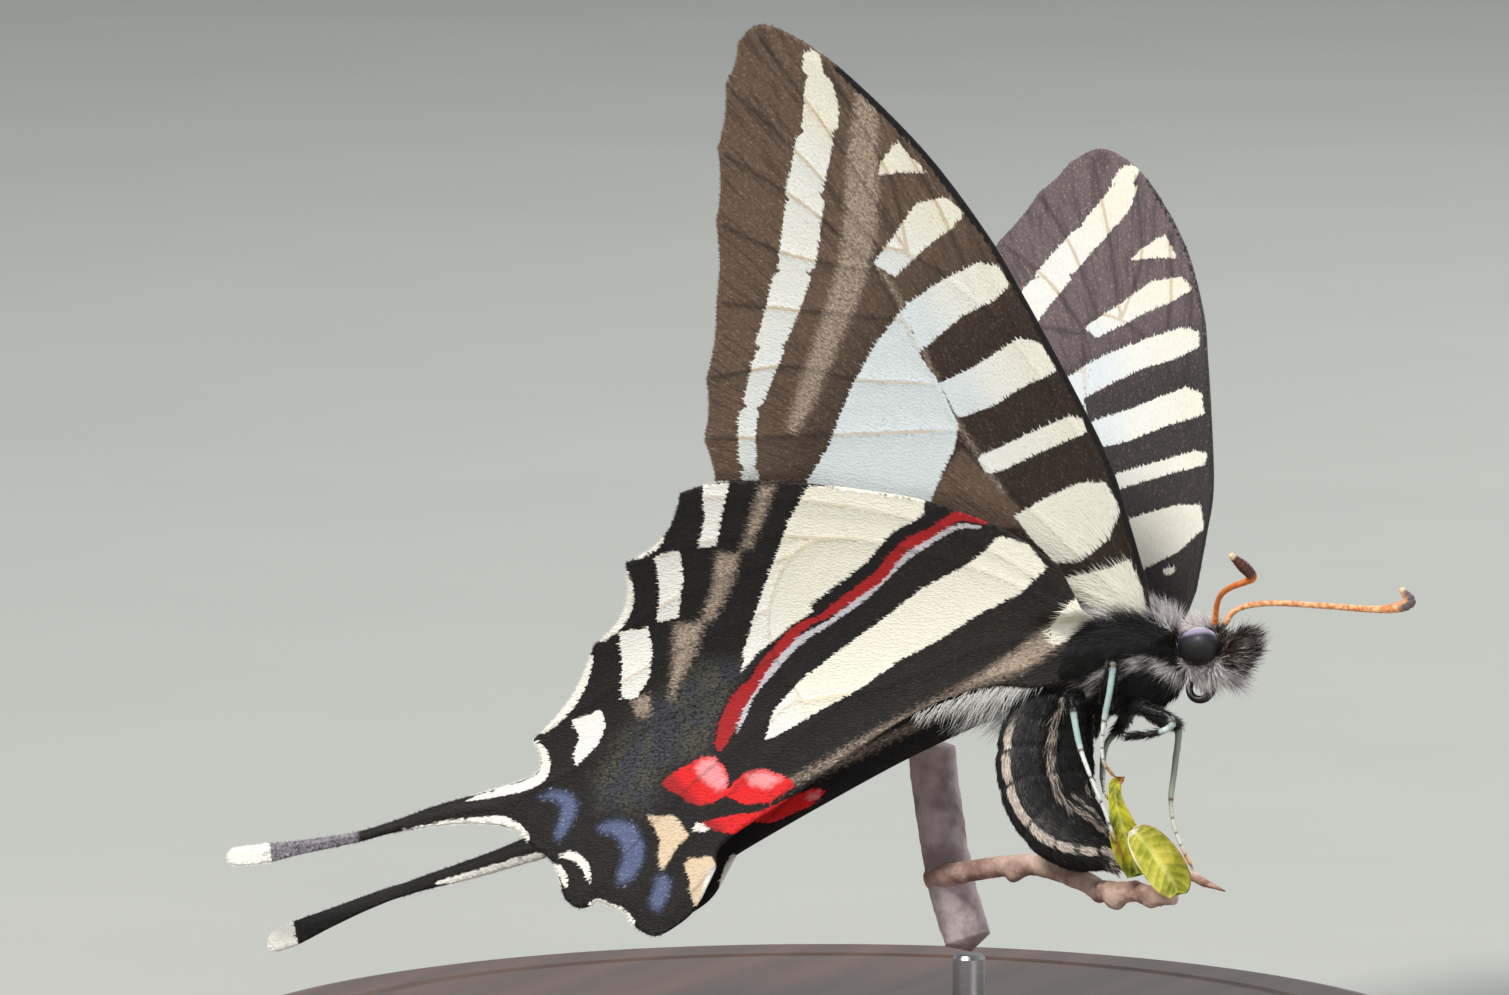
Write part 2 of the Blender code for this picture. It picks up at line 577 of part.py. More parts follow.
def make_body(frame):
    loft("thorax", THORAX, "hair", frame)
    for name, (start, end) in ABDOMEN_PARTS.items():
        length = abdomen_length(name, start, end, frame)
        if start == 0:
            cut(length, loft("thorax_room", THORAX, "hair", frame, grow=GAP))
    head = loft("head", HEAD, "hair", frame)
    for side, word in ((-1, "right"), (1, "left")):
        x, y, z = EYE_AT
        ball("eye_" + word, (x, y * side, z), EYE_RADII, "eye", frame)
        cut(head, ball("eye_room", (x, y * side, z), EYE_RADII, "eye", frame, grow=GAP))
        line = [(px, py * side, pz) for px, py, pz in PALP]
        palp = tube("palp_" + word, line, PALP_RADII, "hair", frame, sides=8)
        cut(palp, loft("head_room", HEAD, "hair", frame, grow=GAP))
    make_proboscis(frame)
    for word, line in (("right", RIGHT_ANTENNA), ("left", LEFT_ANTENNA)):
        feeler = tube("antenna_" + word, line, ANTENNA_RADII, "antenna", frame, sides=8)
        cut(feeler, loft("head_room", HEAD, "hair", frame, grow=GAP))


def make_proboscis(frame):
    steps = 16
    line = [(3.45, 0.0, -3.8)]
    radii = [0.27]
    for i in range(steps + 1):
        t = i / steps
        turn = math.tau * COIL_TURNS * t
        reach = COIL_OUTER + (COIL_INNER - COIL_OUTER) * t
        line.append((COIL_AT[0] + reach * math.cos(turn), 0.0, COIL_AT[1] - reach * math.sin(turn)))
        radii.append(0.26 - 0.06 * t)
    coil = tube("proboscis", line, radii, "proboscis", frame, steps=1, sides=8)
    cut(coil, loft("head_room", HEAD, "hair", frame, grow=GAP))


def leg_radii(line):
    count = len(line) - 1
    return [FEMUR_RADIUS + (TARSUS_RADIUS - FEMUR_RADIUS) * i / count for i in range(count + 1)]


def make_legs(frame):
    for name, line in LEGS.items():
        leg = tube(name, line, leg_radii(line), "leg", frame, steps=3, sides=8)
        cut(leg, loft("thorax_room", THORAX, "hair", frame, grow=GAP))
        for leaf in LEAVES:
            cut(leg, leaf_piece(leaf, grow=GAP))
        cut(leg, knob_piece(grow=GAP))


def knob_piece(name="knob_room", grow=0.0):
    return tube(name, KNOB, KNOB_RADII, "bark", Matrix.Identity(4), sides=12, grow=grow)


def leaf_piece(name, grow=0.0):
    line, radii, colour = LEAVES[name]
    wanted = name + "_room" if grow else name
    return tube(wanted, line, radii, colour, Matrix.Identity(4), sides=10, flatten=0.8, grow=grow)


def make_perch():
    world = Matrix.Identity(4)
    stem_radii = [STEM_RADIUS] * len(STEM)
    tube("perch_stem", STEM, stem_radii, "bark", world, sides=14)
    twig = tube("perch_twig", TWIG, TWIG_RADII, "bark", world, sides=10)
    cut(twig, tube("stem_room", STEM, stem_radii, "bark", world, sides=14, grow=GAP))
    knob_piece("perch_knob")
    for name in LEAVES:
        cut(leaf_piece(name), knob_piece(grow=GAP))


def turned(name, profile, at, colour, sides):
    """A solid turned about a vertical axis from (radius, height) pairs, lowest first."""
    points = []
    for radius, height in profile:
        for k in range(sides):
            turn = math.tau * k / sides
            points.append((at[0] + radius * math.cos(turn), at[1] + radius * math.sin(turn), height))
    faces = [tuple(range(sides))[::-1]]
    for i in range(len(profile) - 1):
        for k in range(sides):
            a = i * sides + k
            b = i * sides + (k + 1) % sides
            faces.append((a, b, b + sides, a + sides))
    faces.append(tuple(range((len(profile) - 1) * sides, len(profile) * sides)))
    return new_object(name, points, faces, colour)


def make_stand():
    turned("stand_base", BASE_PROFILE, (0.0, 0.0), "stand_wood", 64)
    foot = [(radius, BASE_HEIGHT + GAP + rise) for radius, rise in COLLAR]
    turned("stand_rod", foot + [(ROD_RADIUS, STEM[-1][2] - 0.8)], ROD_AT, "steel", 24)


def main():
    clear_scene()
    frame = body_matrix()
    make_body(frame)
    make_wings(frame)
    make_legs(frame)
    make_perch()
    make_stand()


main()
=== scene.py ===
"""Looks of a zebra swallowtail, spring form, laying on a pawpaw bud, held on a plain display stand.

Lengths are millimetres. Wing plans use the wing's own plane, u to the head and v to the tip. Body
places use body axes, x to the head, y to its left, z up. The perch and stand use world axes.
"""
import json
import math

import bpy
import numpy as np
from mathutils import Matrix, Vector
from mathutils.geometry import delaunay_2d_cdt

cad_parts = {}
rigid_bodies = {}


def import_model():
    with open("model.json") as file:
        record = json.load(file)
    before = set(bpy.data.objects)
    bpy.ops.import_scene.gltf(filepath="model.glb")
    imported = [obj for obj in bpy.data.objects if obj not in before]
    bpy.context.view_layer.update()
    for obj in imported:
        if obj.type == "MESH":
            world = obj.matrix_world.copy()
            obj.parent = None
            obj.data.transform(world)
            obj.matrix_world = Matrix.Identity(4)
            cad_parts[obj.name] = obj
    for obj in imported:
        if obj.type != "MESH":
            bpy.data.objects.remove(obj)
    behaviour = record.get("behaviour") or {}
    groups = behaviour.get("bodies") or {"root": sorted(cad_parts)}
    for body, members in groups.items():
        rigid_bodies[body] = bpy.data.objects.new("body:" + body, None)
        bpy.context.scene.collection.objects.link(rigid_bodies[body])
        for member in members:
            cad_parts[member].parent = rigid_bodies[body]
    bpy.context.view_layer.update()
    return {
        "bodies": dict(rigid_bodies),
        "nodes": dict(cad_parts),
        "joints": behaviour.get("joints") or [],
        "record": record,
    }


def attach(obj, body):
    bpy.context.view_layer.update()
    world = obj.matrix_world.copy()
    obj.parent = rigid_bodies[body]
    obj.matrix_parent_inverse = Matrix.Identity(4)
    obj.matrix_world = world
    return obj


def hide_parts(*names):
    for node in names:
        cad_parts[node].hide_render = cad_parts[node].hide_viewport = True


MM = 0.001
TAU = math.tau
PATCH = 0.0015
MOST_TRIANGLES = 198000
FAR = 1e9
TINY = 1e-12
OUTSIDE = -9.0

# Camera, in world millimetres
AZIMUTH = 24.0
ELEVATION = 7.0
LOOK_AT = (0.4, -10.7, 36.0)
DISTANCE = 800.0
FRAME_WIDTH = 81.486
SENSOR = 36.0

# The butterfly's place and its wings' planes, as in the solids
BODY_AT = (19.63, -1.35, 29.82)
PITCH_UP = 9.7
LEAN_LEFT = 15.0
OPENING = 32.5
HINGE_Y = 1.65
CAMBER = -0.5
CAMBER_REACH = 36.0
LAYER = 1.05
BEND_WIDTH = 2.0
ROOT_SINK = 1.5
LEFT_FORE = ((-0.45, 1.5, 2.1), (0.8, 0.28, 0.19))
LEFT_HIND = ((-0.3, 2.8, 2.1), (0.0, 0.35, 0.0))
LEVEL = ((0, 0, 0), (0, 0, 0))

# Wing outlines
FORE_FRONT = [
    (0.9, 1.2), (0.8, 5.0), (0.6, 8.4), (-0.4, 13.2), (-1.6, 18.2), (-2.6, 21.9), (-4.8, 27.3),
    (-8.1, 32.7)
]
FORE_APEX = [(-10.6, 35.3), (-12.1, 35.8), (-13.4, 35.0)]
FORE_VEIN_ENDS = [
    (-14.8, 32.8), (-16.4, 29.2), (-17.8, 25.0), (-19.2, 20.4), (-21.1, 16.1), (-22.3, 12.6),
    (-22.6, 9.2)
]
FORE_SCALLOP = 0.18
FORE_REAR = [(-20.9, 7.9), (-14.0, 5.1), (-7.0, 2.3), (-3.2, 0.6)]
FORE_ROOT = [(-1.6, -1.2), (0.6, -1.0)]
HIND_FRONT = [(-3.4, 3.3), (-6.3, 5.8), (-9.9, 7.7), (-13.7, 8.9), (-17.4, 9.8), (-21.5, 10.4)]
HIND_CORNER = (-24.1, 10.1)
HIND_TEETH = [(-28.45, 6.5), (-31.6, 2.1), (-36.0, -2.3)]
HIND_BAYS = [0.75, 0.85, 0.5]
RIGHT_TAIL_ROOT = (
    [(-35.65, -3.1), (-35.68, -3.72), (-36.05, -4.02), (-36.9, -4.2)],
    [(-37.3, -6.5), (-36.7, -7.1)],
)
LEFT_TAIL_ROOT = (
    [(-36.0, -3.6), (-36.4, -5.2), (-36.8, -6.7), (-37.3, -7.6)],
    [(-37.3, -8.85), (-36.6, -8.4)],
)
RIGHT_TAIL = [
    (-38.4, -5.25, 0.85), (-40.2, -5.2, 0.62), (-42.3, -5.26, 0.45), (-44.6, -5.45, 0.26),
    (-47.2, -5.7, 0.24), (-50.3, -5.83, 0.31), (-52.6, -5.92, 0.44), (-54.4, -5.9, 0.42),
]
LEFT_TAIL = [
    (-38.2, -8.35, 0.6), (-40.2, -8.72, 0.5), (-42.6, -9.08, 0.42), (-45.6, -9.48, 0.3), (-48.0, -10.0, 0.33),
    (-50.6, -10.72, 0.43), (-52.6, -11.3, 0.56), (-53.7, -11.62, 0.5),
]
HIND_LOBES = [
    (-36.2, -7.5), (-35.3, -8.2), (-34.85, -9.2), (-34.6, -10.0), (-33.9, -10.5), (-33.1, -10.5),
    (-32.75, -10.33), (-32.0, -10.62), (-31.2, -10.97), (-30.5, -11.75), (-29.3, -12.3), (-27.9, -11.9),
    (-26.9, -11.3), (-26.1, -10.3), (-25.6, -9.6),
]
RIGHT_INNER = [(-25.0, -8.4), (-20.4, -6.5), (-14.2, -3.8), (-9.2, -2.6), (-5.4, -3.0)]
LEFT_INNER = [(-25.0, -9.3), (-20.4, -7.5), (-14.6, -5.3), (-9.2, -3.6), (-5.4, -3.4)]
TAIL_CAP = 1.3
TAIL_LENGTH = 17.0
HIND_ROOT = [(-2.4, -3.3), (-2.4, 0.4)]
FORE_VEINS = [
    [(0.1, 0.5), (0.3, 6.0), (-1.3, 12.0), (-3.4, 17.0), (-6.4, 20.8), (-8.6, 22.2), (-9.7, 21.4)],
    [(-0.6, 0.5), (-3.5, 4.7), (-6.0, 8.2), (-7.4, 11.2), (-8.0, 14.0), (-8.8, 17.9), (-9.7, 21.4)],
    [(-2.3, 14.4), (-3.0, 20.0), (-3.7, 24.0)],
    [(-4.2, 18.1), (-4.7, 23.0), (-5.9, 28.3)],
    [(-7.4, 21.6), (-7.2, 26.5), (-9.0, 33.2)],
    [(-7.4, 21.6), (-9.4, 28.0), (-12.0, 35.1)],
    [(-8.9, 22.1), (-11.5, 27.5), (-14.5, 32.3)],
    [(-9.7, 21.4), (-12.6, 25.4), (-16.1, 28.8)],
    [(-9.5, 20.8), (-14.3, 22.6), (-17.4, 24.7)],
    [(-8.8, 17.9), (-13.0, 18.9), (-18.8, 20.3)],
    [(-8.0, 14.0), (-12.5, 14.9), (-16.4, 16.2), (-20.7, 16.1)],
    [(-7.4, 11.2), (-15.9, 12.0), (-21.9, 12.6)],
    [(-1.2, 0.2), (-7.0, 3.7), (-15.0, 7.2), (-22.0, 9.2)],
]
HIND_VEINS = [
    [(-3.2, 1.6), (-9.5, 6.2), (-17.0, 8.7), (-23.7, 9.9)],
    [(-3.2, 0.6), (-8.0, 3.6), (-15.0, 6.2), (-18.6, 5.7), (-20.8, 2.8), (-21.0, 0.2), (-19.7, -2.3)],
    [(-3.2, -0.6), (-8.0, -0.5), (-14.5, -1.9), (-19.7, -2.3)],
    [(-15.0, 6.2), (-22.0, 7.2), (-28.0, 6.4)],
    [(-18.6, 5.7), (-25.0, 4.5), (-31.1, 2.2)],
    [(-20.8, 2.8), (-28.0, 0.8), (-35.5, -2.1)],
    [(-21.0, 0.2), (-29.0, -2.5), (-37.4, -5.1)],
    [(-19.9, -2.0), (-27.0, -5.7), (-33.4, -10.2)],
    [(-16.8, -2.1), (-24.0, -5.9), (-30.8, -11.0)],
    [(-3.4, -1.6), (-12.0, -2.9), (-20.0, -5.7), (-28.6, -11.7)],
]

# Wing markings, and painted highlights on the red spots: closed marks, and strokes as a line with half widths
FORE_PALE = [
    [(-7.8, 26.3), (-7.4, 27.1), (-6.1, 28.1), (-5.0, 26.1), (-6.5, 26.3)],
    [(-9.6, 21.4), (-7.9, 22.8), (-6.2, 24.4), (-4.4, 24.6), (-3.5, 23.5), (-4.4, 22.8), (-6.4, 21.8),
     (-8.6, 20.4)],
    [(-8.5, 18.7), (-5.8, 19.9), (-3.6, 20.6), (-2.5, 20.2), (-2.2, 19.0), (-3.3, 18.3), (-5.3, 17.7),
     (-7.1, 16.7), (-8.5, 15.9)],
    [(-7.8, 14.0), (-5.5, 14.7), (-2.5, 16.0), (-1.4, 15.5), (-0.9, 13.8), (-3.0, 13.2), (-5.1, 12.3),
     (-7.3, 11.9)],
    [(-6.9, 9.5), (-4.1, 10.3), (-0.9, 11.2), (-0.2, 10.9), (-0.2, 10.1), (-2.9, 9.4), (-5.5, 8.6),
     (-6.6, 8.5)],
    [(-5.7, 5.9), (-3.3, 6.8), (-1.4, 7.3), (0.1, 7.2), (0.6, 5.5), (-0.6, 3.9), (-2.6, 2.8),
     (-4.0, 2.9), (-5.1, 4.5)],
    [(-8.5, 18.7), (-10.9, 16.7), (-13.1, 14.3), (-15.2, 11.3), (-17.1, 9.4), (-18.6, 7.6), (-13.0, 4.6),
     (-10.9, 6.3), (-9.9, 7.9), (-8.1, 10.1), (-7.4, 11.4), (-7.8, 14.0), (-8.5, 16.0)],
    [(-5.4, 1.0), (-3.6, 2.0), (-1.0, 2.3), (0.3, 2.7), (0.6, 1.0), (0.4, -1.0), (-1.8, -1.2), (-4.6, -0.3)],
]
FORE_BAND = [
    (-9.4, 33.5, 0.5), (-10.0, 30.5, 1.0), (-11.4, 27.5, 1.0), (-12.9, 24.6, 1.06), (-14.2, 21.6, 1.05),
    (-15.9, 18.8, 0.86), (-17.8, 16.2, 0.67), (-19.4, 13.4, 0.52), (-20.3, 10.2, 0.5), (-20.9, 8.2, 0.4),
]
FORE_TAN = [
    (-6.9, 31.3, 0.5), (-8.3, 27.6, 0.85), (-9.4, 24.4, 0.9), (-10.7, 21.5, 0.85), (-12.4, 18.9, 0.72),
    (-14.2, 16.4, 0.62), (-16.0, 13.9, 0.5), (-17.0, 12.6, 0.3),
]
CELL_SHADE = [
    (-11.3, 5.6), (-9.9, 7.93), (-8.56, 9.42), (-7.62, 10.19), (-6.67, 8.71), (-5.84, 7.43),
    (-5.14, 6.28), (-5.6, 5.2),
]
FORE_CELL_LINE = [
    (-9.3, 21.0, 0.1), (-8.6, 18.6, 0.1), (-8.0, 14.6, 0.1), (-7.3, 11.2, 0.12), (-5.9, 7.4, 0.1)
]
HIND_PALE = [
    [(-22.7, 10.4), (-21.1, 10.3), (-22.1, 8.5), (-22.9, 6.8), (-24.0, 6.8), (-23.1, 8.6)],
    [(-26.7, 6.7), (-25.1, 6.9), (-25.4, 5.1), (-26.3, 3.0), (-27.6, 2.9), (-27.1, 4.1), (-26.8, 5.6)],
    [(-29.9, 2.7), (-28.2, 2.7), (-28.2, 1.4), (-28.6, 0.1), (-29.6, -1.0), (-30.5, -0.9), (-30.2, 0.6)],
    [(-33.6, -1.6), (-31.8, -1.3), (-31.6, -2.1), (-32.1, -3.0), (-33.5, -3.9), (-33.7, -3.2), (-33.2, -2.6)],
    [(-16.6, 9.5), (-18.3, 7.7), (-19.8, 5.5), (-21.3, 3.4), (-22.8, 0.8), (-23.2, -0.4), (-22.2, 0.4),
     (-20.9, 1.1), (-18.2, 2.4), (-15.5, 3.6), (-14.0, 4.9), (-12.9, 5.6), (-11.8, 6.3), (-10.4, 7.0),
     (-10.1, 7.9), (-12.5, 9.0)],
    [(-4.0, 3.2), (-6.0, 1.9), (-8.6, 1.1), (-11.2, 0.0), (-13.7, -0.8), (-16.3, -2.0), (-18.8, -2.8),
     (-21.3, -3.7), (-22.2, -3.9), (-21.5, -2.5), (-19.9, -1.3), (-17.6, -0.1), (-14.6, 1.3),
     (-11.8, 2.8), (-9.2, 3.7), (-7.8, 4.3), (-6.3, 5.3), (-4.8, 4.6)],
    [(-26.89, -7.58), (-26.51, -7.38), (-26.03, -7.39), (-25.69, -7.61), (-25.94, -7.82), (-26.59, -7.75)],
]
ANAL_PALE = [
    (-27.45, -9.06), (-27.07, -8.82), (-26.48, -8.88), (-25.75, -8.82), (-25.42, -9.27), (-25.43, -9.55),
    (-25.93, -9.92), (-26.2, -10.49), (-26.47, -11.07), (-26.73, -11.37), (-27.08, -11.1),
    (-27.22, -10.48), (-27.25, -9.92), (-27.47, -9.52),
]
HIND_TAN = [
    [(-19.4, 9.9), (-18.5, 9.8), (-19.6, 8.2), (-21.0, 6.4), (-21.5, 6.4), (-20.5, 8.0)],
    [(-23.0, 6.3), (-21.7, 6.2), (-22.5, 4.7), (-24.2, 2.7), (-25.0, 2.6), (-23.9, 4.3)],
    [(-26.6, 2.6), (-24.8, 2.6), (-25.6, 1.1), (-27.6, -1.2), (-27.2, 0.4)],
    [(-29.8, -0.9), (-28.8, -1.0), (-29.0, -1.9), (-29.8, -1.8)],
]
HIND_CREAM = [
    (-29.47, -6.65), (-28.76, -6.82), (-28.04, -6.8), (-27.58, -7.08), (-27.36, -7.48), (-27.02, -7.89),
    (-27.4, -8.13), (-27.9, -8.45), (-28.28, -8.97), (-28.67, -9.4), (-28.84, -9.2), (-28.92, -8.58),
    (-28.77, -7.9), (-29.04, -7.4),
]
INNER_LINE = [
    (-2.4, 0.6, 0.5), (-4.4, -0.5, 0.42), (-6.6, -1.5, 0.34), (-8.9, -2.2, 0.24), (-11.0, -2.9, 0.2),
    (-13.5, -3.6, 0.16), (-16.0, -4.4, 0.16), (-18.5, -5.3, 0.16), (-20.9, -6.1, 0.1),
]
RED_STRIPE = [
    (-7.0, 6.2, 0.2), (-8.3, 6.7, 0.26), (-9.0, 6.5, 0.25), (-10.4, 5.9, 0.28), (-12.1, 5.3, 0.3),
    (-13.9, 3.9, 0.32), (-15.3, 3.2, 0.28), (-16.7, 2.5, 0.26), (-17.8, 2.0, 0.2), (-18.1, 1.9, 0.1),
    (-18.7, 1.8, 0.2), (-19.7, 1.3, 0.3), (-20.7, 0.6, 0.26), (-21.8, -0.2, 0.3), (-22.5, -1.0, 0.3),
    (-23.2, -1.5, 0.42), (-23.9, -2.2, 0.48), (-24.4, -3.0, 0.5), (-24.9, -3.8, 0.3),
]
GREY_LINE = [
    (-7.4, 5.9, 0.1), (-8.7, 6.1, 0.14), (-10.9, 5.3, 0.2), (-12.2, 4.7, 0.2), (-13.8, 3.7, 0.22),
    (-15.0, 2.9, 0.2), (-17.4, 1.7, 0.14), (-19.6, 0.8, 0.2), (-21.4, -0.5, 0.2), (-22.5, -1.3, 0.2),
    (-23.1, -2.2, 0.16), (-23.8, -3.2, 0.12),
]
RED_MARKS = [
    [(-28.54, -5.24), (-27.92, -4.92), (-27.24, -4.66), (-26.5, -4.46), (-26.0, -4.27), (-25.29, -4.35),
     (-24.78, -4.73), (-24.52, -5.38), (-24.5, -5.9), (-24.88, -6.28), (-25.44, -6.51), (-26.34, -6.56),
     (-26.93, -6.35), (-27.51, -5.92), (-28.21, -5.61)],
    [(-24.9, -6.2), (-23.6, -5.3), (-22.4, -5.2), (-20.9, -5.8), (-20.5, -6.2), (-22.0, -6.8), (-23.6, -6.8)],
    [(-26.3, -7.3), (-25.4, -7.9), (-23.4, -8.2), (-21.0, -7.5), (-20.1, -6.9), (-20.8, -6.7),
     (-22.8, -7.2), (-24.4, -7.2)],
]
# Painted highlight: pale pinkish patches on the upper right of the red spots
PINK_HIGHLIGHTS = [
    [(-26.46, -4.75), (-26.01, -4.37), (-25.3, -4.44), (-24.85, -4.87), (-24.59, -5.51), (-24.68, -5.88),
     (-25.22, -5.97), (-25.8, -5.58), (-26.25, -5.15)],
    [(-23.5, -5.4), (-22.4, -5.3), (-21.2, -5.8), (-22.2, -6.2), (-23.2, -5.9)],
    [(-21.2, -7.0), (-20.5, -6.9), (-20.6, -7.2), (-21.2, -7.2)],
]
SLATE = [
    (-23.0, 0.0), (-24.6, -3.2), (-26.2, -4.2), (-28.4, -4.7), (-29.3, -6.4), (-32.3, -6.0),
    (-32.4, -4.6), (-30.8, -3.0), (-27.6, -0.8), (-25.2, 0.4)
]
BLUE_MARKS = [
    [(-35.86, -5.08), (-35.06, -4.84), (-34.35, -4.97), (-33.83, -5.27), (-33.56, -5.73), (-33.71, -6.18),
     (-34.04, -6.62), (-34.42, -7.05), (-34.79, -7.29), (-35.09, -7.2), (-35.0, -6.74), (-34.74, -6.3),
     (-34.58, -5.75), (-34.92, -5.38), (-35.57, -5.21)],
    [(-32.49, -6.93), (-31.76, -6.68), (-31.04, -6.71), (-30.39, -6.97), (-29.94, -7.44), (-29.67, -8.03),
     (-29.77, -8.63), (-30.03, -9.07), (-30.41, -9.49), (-31.02, -9.76), (-31.44, -9.66), (-31.41, -9.11),
     (-31.02, -8.5), (-31.11, -7.88), (-31.56, -7.41), (-32.27, -7.19)],
    [(-29.22, -9.62), (-28.67, -9.49), (-28.21, -9.82), (-28.3, -10.37), (-28.5, -10.72), (-29.0, -11.23),
     (-29.47, -11.04), (-29.57, -10.61), (-29.24, -10.08)],
]
FRINGE = [
    [(-34.71, -8.04, 0.08), (-34.12, -8.06, 0.2), (-33.53, -8.41, 0.22), (-33.2, -8.91, 0.2),
     (-33.05, -9.49, 0.06)],
    [(-35.27, -8.31, 0.08), (-34.87, -8.64, 0.2), (-34.59, -9.13, 0.2), (-34.49, -9.52, 0.06)],
    [(-33.1, -10.4, 0.12), (-32.6, -10.35, 0.16), (-32.1, -10.55, 0.14), (-31.7, -10.72, 0.1),
     (-31.2, -10.95, 0.16), (-30.8, -11.35, 0.18), (-30.5, -11.65, 0.1)],
    [(-25.6, -9.5, 0.08), (-25.95, -9.9, 0.16), (-26.2, -10.4, 0.18), (-26.5, -11.0, 0.1)],
]
FRINGE_BAYS = [(0.12, 0.45, 0.95), (0.22, 0.05, 0.95), (0.25, 0.05, 0.95)]
RIGHT_TAIL_FRINGE = [
    [(-35.88, -2.42, 0.1), (-35.4, -3.12, 0.25), (-35.41, -3.84, 0.28), (-35.8, -4.23, 0.26),
     (-36.72, -4.46, 0.24), (-37.92, -4.56, 0.22), (-39.43, -4.66, 0.14), (-40.2, -4.75, 0.03)],
    [(-36.6, -7.0, 0.06), (-37.1, -6.55, 0.22), (-38.0, -5.98, 0.22), (-39.3, -5.82, 0.19),
     (-41.0, -5.68, 0.15), (-42.6, -5.68, 0.11), (-44.1, -5.66, 0.04)],
]
LEFT_TAIL_FRINGE = [
    [(-36.5, -8.3, 0.06), (-37.2, -8.66, 0.16), (-38.4, -8.85, 0.22), (-40.3, -9.12, 0.24),
     (-42.2, -9.34, 0.2), (-44.0, -9.46, 0.08)],
]

# Body sections: x, centre height, half width, half height
THORAX = [
    (-6.1, -3.0, 1.5, 1.5), (-5.4, -2.95, 2.0, 2.2), (-4.0, -2.8, 2.4, 2.7), (-2.2, -2.7, 2.6, 3.05),
    (-0.4, -2.7, 2.5, 3.1), (0.9, -2.7, 2.05, 2.6), (1.5, -2.7, 1.6, 1.95), (1.85, -2.7, 1.2, 1.4),
]
NECK = [(1.2, -2.65, 0.9, 1.0), (2.0, -2.65, 0.75, 0.85), (2.8, -2.65, 0.9, 1.0)]
HEAD = [
    (2.15, -2.65, 1.15, 1.25), (2.8, -2.65, 1.5, 1.55), (3.5, -2.7, 1.45, 1.5), (4.15, -2.8, 1.1, 1.2),
    (4.5, -2.85, 0.6, 0.7)
]
EYE_AT = (3.32, 1.2, -2.6)
EYE_RADII = (1.18, 0.8, 1.05)
PALP = [(3.9, 0.55, -3.7), (4.7, 0.6, -3.3), (5.3, 0.55, -2.6), (5.6, 0.5, -1.95)]
PALP_RADII = [0.42, 0.45, 0.4, 0.22]
COIL_AT = (2.69, -4.58)
COIL_OUTER = 0.82
COIL_INNER = 0.34
COIL_TURNS = 0.94
COIL_STEPS = 90
COIL_SIDES = 14
ABDOMEN = [
    (-5.5, 0.0, -4.2), (-6.2, 0.0, -5.6), (-6.6, 0.0, -7.3), (-6.5, 0.0, -9.2),
    (-5.85, 0.0, -10.85), (-4.6, 0.0, -12.05), (-3.3, 0.0, -12.95), (-2.55, 0.0, -13.65),
]
ABDOMEN_RADII = [2.0, 2.5, 2.75, 2.65, 2.35, 2.0, 1.25, 0.7]
ABDOMEN_FLATTEN = 0.94
ABDOMEN_JOINTS = [0.14, 0.27, 0.395, 0.55, 0.67, 0.8, 0.9]
COAT_THORAX = 0.42
COAT_HEAD = 0.3
COAT_ABDOMEN = 0.12
RIGHT_ANTENNA = [
    (4.05, -0.55, -1.35), (4.63, -1.5, -0.52), (5.51, -2.8, -0.21), (6.72, -4.2, -0.17),
    (8.0, -5.4, -0.23), (8.74, -6.1, -0.13), (8.6, -6.9, 0.35), (8.2, -7.6, 0.9),
]
LEFT_ANTENNA = [
    (4.1, 0.5, -1.3), (4.84, 0.8, -0.45), (6.45, 1.6, -0.2), (8.95, 3.2, -0.41),
    (11.0, 4.5, -0.64), (12.2, 5.2, -0.62), (12.95, 5.5, -0.3), (12.6, 5.2, 0.4),
]
ANTENNA_RADII = [0.17, 0.16, 0.16, 0.17, 0.19, 0.27, 0.33, 0.16]
LEGS = {
    "leg_front_right": [
        (-0.9, -0.9, -5.2), (0.3, -1.4, -5.8), (1.25, -1.5, -6.15), (1.72, -1.6, -6.68), (1.2, -1.7, -7.05),
        (0.2, -1.75, -7.15), (-1.0, -1.75, -7.1),
    ],
    "leg_front_left": [
        (-0.9, 1.0, -5.3), (-0.38, 2.2, -5.85), (0.07, 2.9, -6.14), (-0.17, 2.8, -8.16), (-0.43, 2.6, -10.08),
        (-0.19, 2.3, -11.57), (0.39, 1.9, -12.89), (0.99, 1.5, -13.89),
    ],
    "leg_middle_right": [
        (-2.2, -1.2, -5.2), (-1.5, -2.6, -4.4), (-0.95, -3.12, -3.4), (-1.22, -3.05, -4.72),
        (-1.77, -2.8, -6.32), (-2.16, -2.35, -7.69), (-2.2, -2.1, -8.48), (-1.84, -1.8, -9.13),
    ],
    "leg_middle_left": [
        (-2.2, 1.2, -5.0), (-3.0, 2.6, -5.5), (-4.3, 3.0, -6.6), (-4.4, 2.6, -8.2), (-3.8, 1.4, -9.4),
        (-2.9, 0.2, -10.2),
    ],
    "leg_hind_right": [
        (-3.7, -1.6, -4.6), (-3.5, -3.0, -4.9), (-3.3, -3.35, -5.8), (-3.04, -3.35, -7.55),
        (-2.58, -3.2, -9.23), (-2.1, -2.6, -11.1), (-1.9, -1.9, -12.6), (-1.75, -1.3, -13.6),
    ],
    "leg_hind_left": [
        (-3.7, 1.6, -4.6), (-4.6, 3.0, -5.2), (-5.7, 3.4, -6.6), (-5.9, 3.4, -8.8), (-5.6, 3.2, -11.0),
        (-4.4, 2.5, -12.9), (-3.4, 1.6, -13.9),
    ],
}

